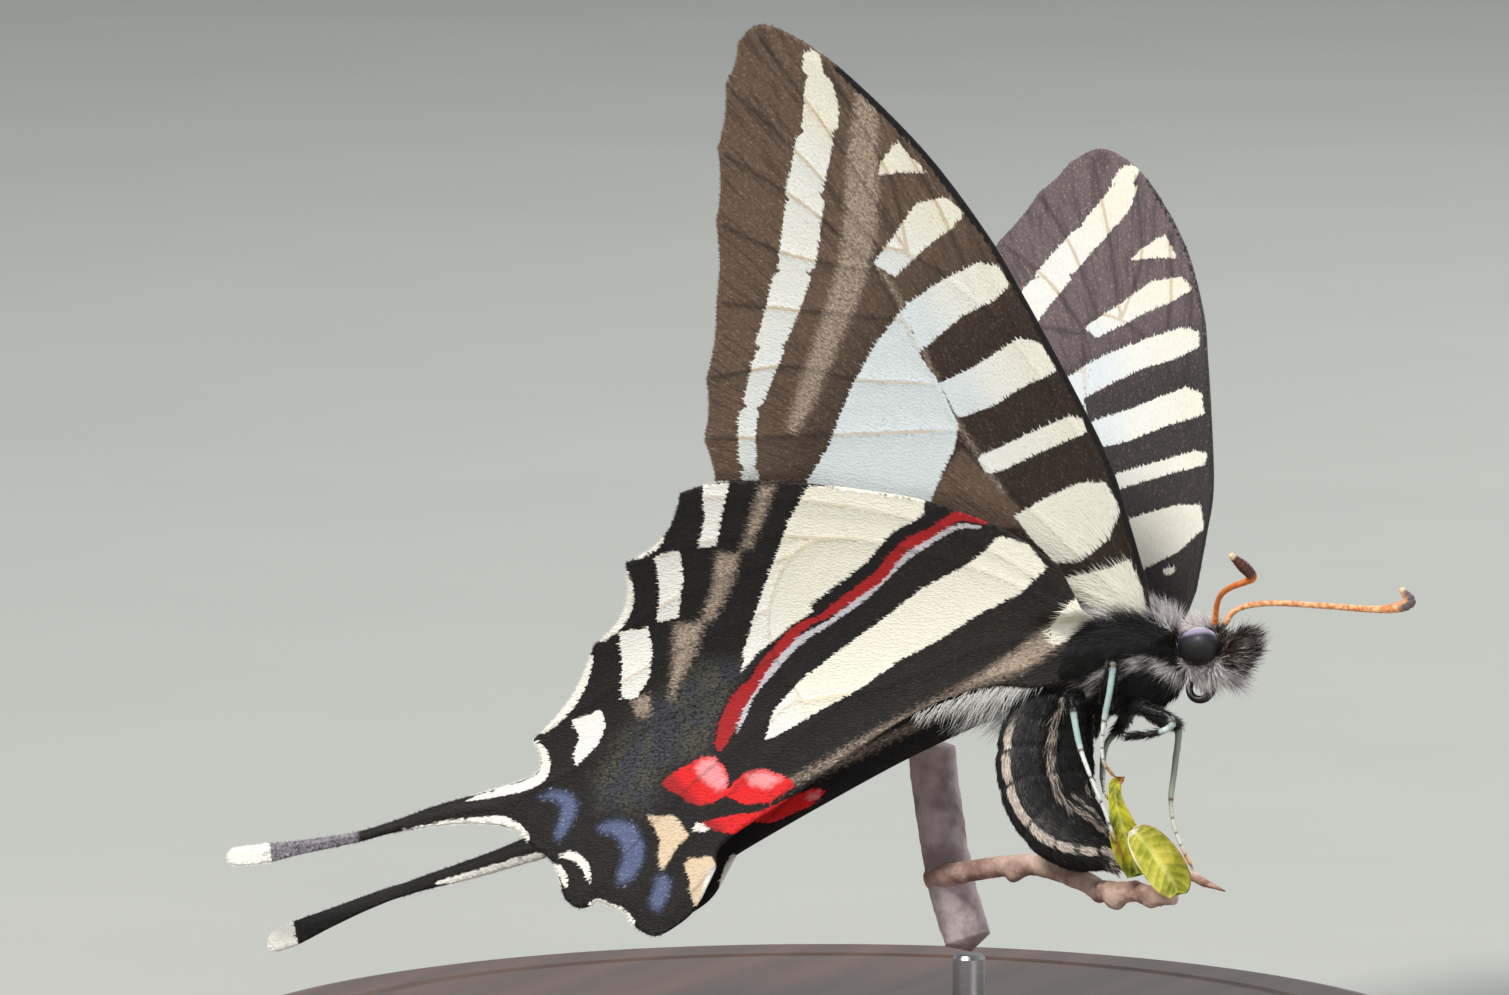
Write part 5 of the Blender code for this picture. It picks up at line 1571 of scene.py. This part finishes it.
def scattered(points, faces, chosen, count, rng):
    """Even random places on the chosen triangles, with normals."""
    picked = faces[chosen]
    corners = points[picked]
    areas = np.linalg.norm(np.cross(corners[:, 1] - corners[:, 0], corners[:, 2] - corners[:, 0]), axis=1)
    steps = (np.arange(count) + rng.uniform(0, 1, count)) / count
    owner = np.searchsorted(np.cumsum(areas) / areas.sum(), steps).clip(0, len(picked) - 1)
    a = np.sqrt(rng.uniform(0, 1, count))[:, None]
    b = rng.uniform(0, 1, count)[:, None]
    places = corners[owner, 0] * (1 - a) + corners[owner, 1] * a * (1 - b) + corners[owner, 2] * a * b
    normals = point_normals(points, faces)
    blend = normals[picked[owner]]
    return places, unit(blend[:, 0] * (1 - a) + blend[:, 1] * a * (1 - b) + blend[:, 2] * a * b)


def clear_of_eyes(places):
    away = np.abs(places) * (1, 1, 0) + places * (0, 0, 1) - np.array(EYE_AT)
    return np.linalg.norm(away / np.array(EYE_RADII), axis=1)


def head_flow(p, rng):
    """Way the head's hair lies, its length, and how far it stands up."""
    face = ramp(p[:, 0], 3.5, 4.3)[:, None]
    top = ramp(p[:, 2], -2.0, -1.2) * (1 - face[:, 0])
    cheek = ramp(p[:, 2], -3.1, -3.8) * ramp(p[:, 0], 4.5, 3.9)
    spread = unit(p - np.array([3.0, 0.0, -2.9]))
    ahead = unit(spread * 0.8 + np.array([0.8, 0.0, 0.3]))
    back = np.array([-0.5, 0.0, 0.6])
    hanging = np.array([0.25, 0.0, -1.0]) * cheek[:, None]
    flow = ahead * face + back * (1 - face) * (1 - cheek[:, None]) + hanging
    length = 0.42 + 0.3 * face[:, 0] * rng.uniform(0.3, 1.9, len(p)) + 0.66 * top + 0.6 * cheek
    near_eye = ramp(clear_of_eyes(p), 1.55, 1.05)
    eye = np.stack([np.full(len(p), EYE_AT[0]), np.sign(p[:, 1]) * EYE_AT[1], np.full(len(p), EYE_AT[2])], 1)
    flow = flow + unit(eye - p) * (near_eye * 0.55)[:, None]
    return flow, length * (1 - 0.4 * near_eye), 0.3 + 0.35 * top - 0.05 * face[:, 0] + 0.2 * near_eye


def thorax_flow(p, rng):
    top = ramp(p[:, 2], -1.9, -0.6)
    flow = np.stack([np.full(len(p), -1.0), np.zeros(len(p)), -0.25 + 0.6 * top], 1)
    front = top * ramp(p[:, 0], 0.8, 2.4)
    return flow, 0.5 + 0.62 * top + 0.35 * front, 0.28 + 0.42 * top + 0.16 * front


def abdomen_flow(p, rng):
    share, angle, way = along_abdomen(p)
    hairy = ramp(np.abs(angle - along_line(share, STRIPE_ANGLE)), 14.0, 5.0) * ramp(share, 0.95, 0.8)
    root = ramp(share, 0.16, 0.03)
    return way, 0.28 + 0.3 * hairy + 0.25 * root, 0.1 + 0.26 * hairy


def body_unwrap(points, region):
    """Places of roots on the body's own unwrap: share along each region against the turn around it."""
    out = np.zeros((len(points), 2))
    share, angle, _ = along_abdomen(points)
    sign = np.where(points[:, 1] < 0, -1.0, 1.0)
    x = points[:, 0]
    turn = np.degrees(np.arctan2(np.abs(points[:, 1]), points[:, 2] + 2.7)) * sign
    length = np.where(region == 0, (x - 1.9) / 4.2, (x + 6.2) / 8.2)
    out[:, 0] = np.where(region == 2, share, length).clip(0, 1)
    out[:, 1] = (np.where(region == 2, angle * sign, turn) / 360 + 0.5).clip(0, 1)
    return 0.01 + out * 0.98


def make_coat(kind, region, flow_rule, points, faces, rng):
    frame = body_matrix()
    centre = points[faces].mean(1)
    chosen = body_region(centre) == region
    places, normals = scattered(points, faces, chosen, TUFTS[kind], rng)
    if kind == "head":
        kept = clear_of_eyes(places) > 1.03
        places, normals = places[kept], normals[kept]
    flow, length, stand = flow_rule(places, rng)
    lean = np.stack([noise3(places, 2.4, k) for k in (31, 32, 33)], 1) * (0.12 if kind == "abdomen" else 0.42)
    flow = flow - normals * np.einsum("ij,ij->i", flow, normals)[:, None] * 0.8 + lean
    flow = unit(flow + rng.normal(0, 0.15, places.shape))
    stand = (stand * rng.uniform(0.6, 1.4, len(places)))[:, None]
    way = unit(flow * (1 - stand) + normals * stand)
    length = length * rng.uniform(0.6, 1.3, len(places))
    droop = unit(flow + np.array([0, 0, -0.3]))
    widths = rng.uniform(0.03, 0.048, len(places)) * (1.15 if kind == "abdomen" else 1.0)
    turned = [turned_to(frame, a) for a in (normals, way, droop)]
    roots = placed(frame, places)
    mesh_points, mesh_faces = tuft_mesh(roots, turned[0], turned[1], length, widths, turned[2])
    assert len(mesh_faces) < MOST_TRIANGLES
    colours = body_colour(places, np.full(len(places), region))
    colours["speck"] = rng.uniform(0, 1, len(places))
    if kind == "abdomen":
        share, angle, _ = along_abdomen(places)
        sparse = (angle > along_line(share, DASH_ANGLE) + 16) & (rng.uniform(0, 1, len(places)) < 0.4)
        colours["tone"] = np.where(sparse, 0.0, colours["tone"])
    colours = {key: np.repeat(value, 7) for key, value in colours.items()}
    if kind == "head":
        tips = colours["tone"].reshape(-1, 7)
        tips[:, 3:] += (rng.uniform(0, 1, len(places)) < 0.3)[:, None] * np.array([0.15, 0.15, 0.15, 0.75])
        colours["tone"] = tips.ravel()
    uv = (body_unwrap(places, np.full(len(places), region))[:, None, :] + TUFT_PATCH).reshape(-1, 2)
    materials = [coat_material("hair_" + kind, *COAT_LIGHTS[kind])]
    new_piece("coat_" + kind, mesh_points, mesh_faces, materials, colours, uv, smooth=False)


def make_coats(points, faces):
    rng = np.random.default_rng(7)
    rules = {"head": head_flow, "thorax": thorax_flow, "abdomen": abdomen_flow}
    for region, (kind, rule) in enumerate(rules.items()):
        make_coat(kind, region, rule, points, faces, rng)


INNER_HAIR_ROOTS = [(-5.4, -2.5), (-7.4, -2.7), (-8.9, -2.9), (-10.6, -3.1), (-13.0, -3.6)]
INNER_HAIR_LENGTHS = [1.2, 2.3, 2.2, 1.4, 0.6]
INNER_HAIRS = 300


def inner_margin_hair(wings):
    """Long white hairs that hang from the inner edge of both hindwings."""
    rng = np.random.default_rng(11)
    parts = []
    for wing in wings[2:]:
        line = smooth_line([(*p, l) for p, l in zip(INNER_HAIR_ROOTS, INNER_HAIR_LENGTHS)], 20)
        rows = line[rng.integers(0, len(line), INNER_HAIRS)]
        spots = rows[:, :2] + rng.normal(0, 0.16, (INNER_HAIRS, 2))
        if wing.tail_line is LEFT_TAIL:
            spots[:, 1] -= 0.5
        roots, normals = wing.surface(spots, 1.0, -0.06)
        spreads = ((-0.75, 0.18), (-0.6, 0.16), (0.02, 0.12))
        way = np.stack([rng.normal(middle, spread, INNER_HAIRS) for middle, spread in spreads], 1)
        droop = np.tile((-0.3, -0.8, 0.0), (INNER_HAIRS, 1))
        droop[:, 2] = rng.normal(0, 0.2, INNER_HAIRS)
        lengths = rows[:, 2] * rng.uniform(0.5, 1.1, INNER_HAIRS)
        widths = rng.uniform(0.03, 0.045, INNER_HAIRS)
        ways = unit(turned_to(wing.frame, way))
        points, faces = tuft_mesh(roots, normals, ways, lengths, widths, unit(turned_to(wing.frame, droop)))
        tone = np.repeat(rng.uniform(0.8, 1.0, INNER_HAIRS), 7)
        fields = {"tone": tone, "brown": tone * 0, "speck": np.repeat(rng.uniform(0.3, 1, INNER_HAIRS), 7)}
        fields["bake"] = (wing.bake_place(spots, False)[:, None, :] + TUFT_PATCH).reshape(-1, 2)
        parts.append((points, faces, fields))
    points, faces, fields = merged(parts)
    uv = fields.pop("bake")
    materials = [coat_material("hair_margin", srgb(206, 204, 200), srgb(248, 247, 243))]
    new_piece("inner_margin_hair", points, faces, materials, fields, uv, smooth=False)


# eyes, feelers, tongue and legs
def make_eyes():
    frame = body_matrix()
    material = eye_material()
    for side, word in ((-1, "right"), (1, "left")):
        x, y, z = EYE_AT
        points, faces, facing = ellipsoid((x, side * y, z), EYE_RADII)
        points = placed(frame, points)
        piece = new_piece("eye_ball_" + word, points, faces, [material], {"facing": facing})
        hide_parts("eye_" + word)


def make_antennae():
    frame = body_matrix()
    # Lit and shaded copies of one feeler look: the far feeler painted lighter, its club peach on top and grey
    # below; the near feeler darker, its club dark brown
    near = antenna_material("antenna_near_shaded", srgb(218, 104, 34), srgb(240, 142, 66), srgb(52, 28, 20),
                            srgb(84, 44, 28))
    far = antenna_material("antenna_far_lit", srgb(214, 128, 68), srgb(248, 196, 142), srgb(230, 160, 104),
                           srgb(104, 92, 92))
    looks = {"right": (RIGHT_ANTENNA, near), "left": (LEFT_ANTENNA, far)}
    for word, (line, material) in looks.items():
        rows = smooth_line([(*p, r) for p, r in zip(line, ANTENNA_RADII)], 28)
        rings = np.linalg.norm(np.diff(rows[:, :3], axis=0), axis=1).cumsum()
        ring = np.append(0, rings) / 0.27 % 1.0
        notch = 1 - 0.14 * np.exp(-(np.minimum(ring, 1 - ring) / 0.12) ** 2)
        points, faces, share = tube_mesh(rows[:, :3], rows[:, 3] * notch, 16)
        under = np.append(np.tile(0.5 - 0.5 * np.sin(ring_turns(16)), len(rows)), (0.5, 0.5))
        fields = {"along": share, "under": under, "rings": np.append(np.repeat(notch, 16), (1, 1))}
        piece = new_piece("feeler_" + word, placed(frame, points), faces, [material], fields)
        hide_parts("antenna_" + word)


def make_tongue():
    turns = np.linspace(0, COIL_TURNS * TAU, COIL_STEPS)
    reach = np.linspace(COIL_OUTER, COIL_INNER, COIL_STEPS)
    x = COIL_AT[0] + reach * np.cos(turns)
    z = COIL_AT[1] - reach * np.sin(turns)
    line = np.vstack([[(3.45, 0.0, -3.8), (3.5, 0.0, -4.1)], np.stack([x, np.zeros(COIL_STEPS), z], 1)])
    count = len(line)
    radii = np.linspace(0.25, 0.16, count)
    ring = np.arange(count) * 0.5 % 1.0
    radii = radii * (1 - 0.06 * np.exp(-(np.minimum(ring, 1 - ring) / 0.2) ** 2))
    points, faces, _ = tube_mesh(line, radii, COIL_SIDES)
    under = np.append(np.tile(ramp(np.cos(ring_turns(COIL_SIDES)), 0.9, 1.0) * 0.5, count), (0, 0))
    fields = {"under": under, "rings": np.append(np.repeat(ring, COIL_SIDES), (1, 1))}
    points = placed(body_matrix(), points)
    piece = new_piece("tongue", points, faces, [coil_material()], fields)
    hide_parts("proboscis")


LEG_SHARES = {
    "leg_front_right": (0.2, 0.52, 0.8), "leg_front_left": (0.14, 0.22, 0.6),
    "leg_middle_right": (0.2, 0.335, 0.66),
    "leg_middle_left": (0.15, 0.3, 0.66), "leg_hind_right": (0.12, 0.22, 0.42),
    "leg_hind_left": (0.12, 0.23, 0.5),
}
LEG_LOOK = [(0, 0), (0.9, 0.0), (0.99, 1.0), (1.8, 1.5), (2.1, 2.2), (3.2, 2.8), (4.0, 3.6)]
LEG_LOOK_FOLDED = [(0, 0), (0.9, 0.0), (0.99, 1.2), (1.35, 2.0), (1.6, 0.0), (4.0, 0.0)]
LEG_RADII = [
    (0, 0.38), (0.5, 0.34), (0.85, 0.24), (1.0, 0.23), (1.15, 0.18), (1.6, 0.17), (1.93, 0.16),
    (2.0, 0.17), (2.08, 0.12), (3.0, 0.1), (4.0, 0.09),
]
LEG_JOINTS = [1.0, 2.0, 2.5, 2.95, 3.35, 3.7]
LEG_SIDES = 14
LEG_SPINES = 90
LEG_HAIRS = 620
CLAW = 0.34


def leg_radius(stage):
    """Half width by stage of the leg: 0 body joint, 1 knee, 2 end of shin, 3 and on the foot."""
    return along_line(stage, LEG_RADII)


def leg_tufts(frame, stage, rows, at, sunk, lengths, width, rng):
    """Hairs that leave the leg at stages at and lean toward its foot."""
    spots = np.array([np.interp(at, stage, rows[:, k]) for k in range(3)]).T
    ahead = np.array([np.interp(at + 0.05, stage, rows[:, k]) for k in range(3)]).T
    way = unit(ahead - spots + 1e-6)
    around = unit(np.cross(way, rng.normal(0, 1, way.shape)))
    roots = placed(frame, spots + around * (leg_radius(at) * sunk)[:, None])
    out, leaning, ahead = (turned_to(frame, v) for v in (around, unit(way + around * 0.6), way))
    return tuft_mesh(roots, out, leaning, rng.uniform(*lengths, len(at)), np.full(len(at), width), ahead)


def leg_claws(frame, rows, look):
    end = rows[-1]
    ahead = unit(rows[-1] - rows[-6])
    parts = []
    for side in (-1, 1):
        bend = end + ahead * CLAW * 0.5 + np.array([0, side * 0.1, 0.03])
        tip = end + ahead * CLAW + np.array([0.02, side * 0.12, -0.14])
        hook = smooth_line([end, bend, tip], 6)
        claw, faces, _ = tube_mesh(hook, np.linspace(0.055, 0.012, len(hook)), 8)
        fields = {"along": np.full(len(claw), look), "joint": np.full(len(claw), 0.7)}
        parts.append((placed(frame, claw), faces, fields))
    return parts


def make_leg(name, line, material, rng):
    """One leg: its jointed tube, the spines of shin and foot, the hair of the thigh, and two claws."""
    frame = body_matrix()
    rows = resampled(smooth_line(line, 12), 0.07)
    travelled = np.append(0, np.linalg.norm(np.diff(rows, axis=0), axis=1).cumsum())
    coxa, knee, ankle = LEG_SHARES[name]
    shares = [(0, 0), (coxa, 0.5), (knee, 1.0), (ankle, 2.0), (1.0, 4.0)]
    stage = along_line(travelled / travelled[-1], shares)
    joint = np.min([np.abs(stage - j) for j in LEG_JOINTS], axis=0)
    radii = leg_radius(stage) * (1 - 0.16 * np.exp(-(joint / 0.05) ** 2))
    points, faces, _ = tube_mesh(rows, radii, LEG_SIDES)
    points = points + (point_normals(points, np.array(faces)) * (noise3(points, 9.0, 3) * 0.008)[:, None])
    folded = name == "leg_front_right"
    looks = LEG_LOOK_FOLDED if folded else LEG_LOOK
    look = along_line(stage, looks)
    ringed = np.repeat(np.exp(-(joint / 0.03) ** 2) * (stage > 0.8), LEG_SIDES)
    along = np.append(np.repeat(look, LEG_SIDES), (0, look[-1]))
    fields = {"along": along, "joint": np.append(ringed, (0, 0))}
    parts = [(placed(frame, points), faces, fields)]
    at = rng.uniform(1.1, 3.9, LEG_SPINES)
    spines = leg_tufts(frame, stage, rows, at, 0.8, (0.1, 0.2), 0.024, rng)
    parts.append((*spines, {"along": np.repeat(along_line(at, looks), 7), "joint": np.zeros(LEG_SPINES * 7)}))
    at = rng.uniform(0.0, 0.94, LEG_HAIRS)
    if folded:
        at[:280] = rng.uniform(1.45, 3.7, 280)
    hairs = leg_tufts(frame, stage, rows, at, 0.85, (0.2, 0.5), 0.036, rng)
    grey = rng.uniform(0, 1, LEG_HAIRS) ** 6 * 0.5
    parts.append((*hairs, {"along": np.repeat(grey, 7), "joint": np.zeros(LEG_HAIRS * 7)}))
    points, faces, fields = merged(parts + leg_claws(frame, rows, look[-1]))
    piece = new_piece(name.replace("leg_", "limb_"), points, faces, [material], fields)
    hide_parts(name)


def make_legs():
    rng = np.random.default_rng(21)
    near = leg_material("leg_cuticle_near", srgb(168, 190, 186), srgb(232, 234, 228))
    # The far legs take a darker copy of the near legs' colours: painted shade
    far = leg_material("leg_cuticle_far_shaded", srgb(140, 150, 134), srgb(196, 198, 184))
    for name, line in LEGS.items():
        make_leg(name, line, far if name.endswith("left") else near, rng)


# perch and stand
def branch(name, node, line, radii, material, sides=44, rough=0.07, buds=()):
    """A bark-covered length with lumps, cracks and leaf scars, closed at both ends."""
    rows = smooth_line([(*p, r) for p, r in zip(line, radii)], 5)
    spots = resampled(rows, 0.14)
    points, faces, _ = tube_mesh(spots[:, :3], spots[:, 3], sides)
    normals = point_normals(points, np.array(faces))
    lump = noise3(points, 0.9, 1) * 0.6 + noise3(points, 2.3, 2) * 0.4
    grain = noise3(points * (1, 1, 0.35), 6.0, 5) * 0.35 + noise3(points, 9.0, 6) * 0.2
    scars = np.zeros(len(points))
    for at, size, height in buds:
        away = np.linalg.norm(points - np.array(at), axis=1)
        scars = scars + height * np.exp(-(away / size) ** 2)
    points = points + normals * ((lump + grain) * rough + scars)[:, None]
    piece = new_piece(name, points, faces, [material])
    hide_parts(node)


LEAF_SIDES = 40
LEAF_HALF = 0.07


def leaf_height(order, share, width):
    """Height of a folded leaf's section, with its side veins and a slow wave."""
    out = np.abs(order)
    vein = 0.05 * np.cos((share * 9 + out * 1.4) * TAU) * (1 - out) * out * 3
    wave = 0.06 * np.sin(share * 17 + order * 2) * out
    fold = out ** 1.3 * 0.75 - 0.35
    return fold * width + wave * width + vein * width * 0.5


def leaf_looks(order, share, silvery):
    """Ribs, brown edge and silvery hair from one side of a leaf to the other."""
    side_rib = 0.5 * ramp(np.cos((share * 9 + np.abs(order) * 1.4) * TAU), 0.7, 1.0)
    edge = ramp(-order, 0.8, 1.0) * ramp(share, 0.3, 0.7) * 0.8
    return {
        "rib": np.maximum(np.exp(-(order / 0.09) ** 2), side_rib),
        "brown": np.maximum(ramp(share, 0.86, 1.0) * (1 - silvery), ramp(order, 0.84, 1.0) * 0.62),
        "hoary": np.maximum(edge, ramp(share, 0.88, 0.98)) * silvery,
    }


def leaf_fold(name, node, line, radii, material, turn, silvery):
    """A young leaf still folded on its midrib, with side veins, one silvery hairy edge and one brown edge."""
    rows = smooth_line([(*p, r) for p, r in zip(line, radii)], 12)
    count = len(rows)
    spine = rows[:, :3]
    ways = line_ways(spine)
    across = unit(np.cross(ways, np.array(turn)))
    outward = np.cross(across, ways)
    spread = np.linspace(-1, 1, LEAF_SIDES // 2)
    points, looks = [], []
    for i in range(count):
        share = i / (count - 1)
        width = rows[i, 3]
        for order, thick in ((spread, LEAF_HALF), (spread[::-1], -LEAF_HALF)):
            height = leaf_height(order, share, width) + thick
            points.append(spine[i] + np.outer(order * width * 0.85, across[i]) + np.outer(height, outward[i]))
            looks.append(leaf_looks(order, share, silvery))
    points = np.vstack(points + [spine[0] - ways[0] * 0.15, spine[-1] + ways[-1] * 0.2])
    fields = joined(looks + [{"rib": (0, 0), "brown": (0, 1), "hoary": (0, 0)}])
    faces = faced_out(points, np.array(tube_faces(count, LEAF_SIDES)))
    piece = new_piece(name, points, faces, [material], fields)
    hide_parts(node)


def make_perch():
    bark = bark_material("branch_bark", srgb(146, 129, 130), srgb(200, 184, 186), srgb(168, 144, 143))
    young = bark_material("twig_bark", srgb(142, 112, 100), srgb(212, 184, 168), srgb(168, 124, 102))
    branch("branch", "perch_stem", STEM, [STEM_RADIUS - 0.06] * len(STEM), bark, 72)
    branch("twig", "perch_twig", TWIG, [r - 0.04 for r in TWIG_RADII], young, 40, 0.05,
           [((11.2, -0.5, 14.4), 0.55, 0.75), ((14.4, -1.8, 15.6), 0.4, 0.2)])
    branch("bud_knob", "perch_knob", KNOB, [r - 0.1 for r in KNOB_RADII], young, 44, 0.12,
           [((19.2, -4.9, 14.0), 0.6, 0.6), ((21.3, -5.3, 14.1), 0.5, 0.22), ((20.3, -5.0, 15.5), 0.4, 0.15)])
    skin = bark_material("bud_scale_skin", srgb(128, 78, 54), srgb(222, 196, 180), srgb(238, 226, 214))
    branch("bud_scale", "perch_scale", SCALE, [r - 0.06 for r in SCALE_RADII], skin, 30, 0.05)
    pointed = leaf_material("leaf_pointed_skin", srgb(96, 108, 12), srgb(206, 202, 46))
    oval = leaf_material("leaf_oval_skin", srgb(146, 152, 38), srgb(216, 208, 92))
    front = (LEAF_FRONT, LEAF_FRONT_RADII, pointed, (0.35, -1.0, 0.3), 0.0)
    leaf_fold("bud_leaf_front", "perch_leaf_front", *front)
    rear = (LEAF_REAR, LEAF_REAR_RADII, oval, (0.3, -1.0, 0.35), 1.0)
    leaf_fold("bud_leaf_rear", "perch_leaf_rear", *rear)


BASE_PROFILE = [
    (0.0, 0.0), (34.6, 0.0), (35.3, 0.15), (35.8, 0.6), (36.0, 1.2), (35.95, 1.8), (35.4, 2.3),
    (35.0, 2.7), (34.9, 3.1), (35.1, 3.5), (35.2, 3.9), (34.9, 4.4), (34.2, 4.8), (33.2, 5.0),
    (30.0, 5.0), (29.6, 4.88), (29.2, 4.88), (28.8, 5.0), (0.0, 5.0),
]
ROD_PROFILE = [
    (0.0, 4.3), (1.55, 4.3), (1.7, 5.0), (1.7, 5.5), (1.6, 5.7), (1.25, 5.8), (0.98, 5.95), (0.9, 6.2),
    (0.9, 9.3), (0.78, 9.5), (0.0, 9.5),
]


def turned_piece(name, node, profile, at, material, sides=160):
    """A piece turned about a vertical axis from (radius, height) pairs, lowest first."""
    spots = np.array(profile[1:-1])
    turns = ring_turns(sides)
    way = np.stack([np.cos(turns), np.sin(turns), np.zeros(sides)], 1)
    rings = [np.array((*at, z)) + way * r for r, z in spots]
    ends = np.array([(*at, profile[0][1]), (*at, profile[-1][1])])
    points = np.vstack(rings + [ends])
    faces = faced_out(points, np.array(tube_faces(len(spots), sides)))
    piece = new_piece(name, points, faces, [material], smooth=False)
    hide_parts(node)


def make_stand():
    turned_piece("wood_base", "stand_base", BASE_PROFILE, (0.0, 0.0), wood_material())
    turned_piece("steel_rod", "stand_rod", ROD_PROFILE, ROD_AT, steel_material(), 64)


# stage, in metres
FLOOR_HALF = 6.0
FLOOR_DROP = 0.0002
SKY = (0.86, 0.90, 0.95, 1.0)
SKY_STRENGTH = 0.47
LIT_POINT = (0.0, 0.0, 0.035)
LIGHTS = {
    "key": ((-0.12, -0.42, 0.55), 0.16, 4.3, (1.0, 0.97, 0.93)),
    "fill": ((0.55, -0.35, 0.22), 0.40, 1.0, (0.93, 0.96, 1.0)),
    "rim": ((0.15, 0.50, 0.45), 0.30, 2.3, (1.0, 0.98, 0.95)),
}


def area_light(name, place, size, power, colour):
    light = bpy.data.lights.new(name, "AREA")
    light.shape = "DISK"
    light.size = size
    light.energy = power
    light.color = colour
    obj = bpy.data.objects.new(name, light)
    obj.location = place
    obj.rotation_euler = (Vector(LIT_POINT) - Vector(place)).to_track_quat("-Z", "Y").to_euler()
    bpy.context.scene.collection.objects.link(obj)


def make_floor():
    mesh = bpy.data.meshes.new("floor")
    corners = [(x * FLOOR_HALF, y * FLOOR_HALF, 0) for x, y in ((-1, -1), (1, -1), (1, 1), (-1, 1))]
    mesh.from_pydata(corners, [], [(0, 1, 2, 3)])
    mesh.materials.append(floor_material())
    floor = bpy.data.objects.new("floor", mesh)
    floor.location.z = -FLOOR_DROP
    bpy.context.scene.collection.objects.link(floor)


def make_stage():
    make_floor()
    world = bpy.data.worlds.new("studio")
    world.use_nodes = True
    background = world.node_tree.nodes["Background"].inputs
    background["Color"].default_value = SKY
    background["Strength"].default_value = SKY_STRENGTH
    bpy.context.scene.world = world
    for name, light in LIGHTS.items():
        area_light(name, *light)


def make_camera():
    azimuth = math.radians(AZIMUTH)
    elevation = math.radians(ELEVATION)
    level = math.cos(elevation)
    back = Vector((math.sin(azimuth) * level, -math.cos(azimuth) * level, math.sin(elevation)))
    lens = bpy.data.cameras.new("camera")
    lens.sensor_width = SENSOR
    lens.lens = SENSOR * DISTANCE / FRAME_WIDTH
    lens.clip_start = 0.01
    lens.clip_end = 20.0
    camera = bpy.data.objects.new("camera", lens)
    camera.location = (Vector(LOOK_AT) + back * DISTANCE) * MM
    camera.rotation_euler = back.to_track_quat("Z", "Y").to_euler()
    bpy.context.scene.collection.objects.link(camera)
    bpy.context.scene.camera = camera
    bpy.context.scene.view_settings.view_transform = "Standard"


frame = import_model()
make_camera()
make_stage()
wings = make_wings()
skin_points, skin_faces = make_skin()
make_coats(skin_points, skin_faces)
inner_margin_hair(wings)
make_eyes()
make_antennae()
make_tongue()
make_legs()
make_perch()
make_stand()
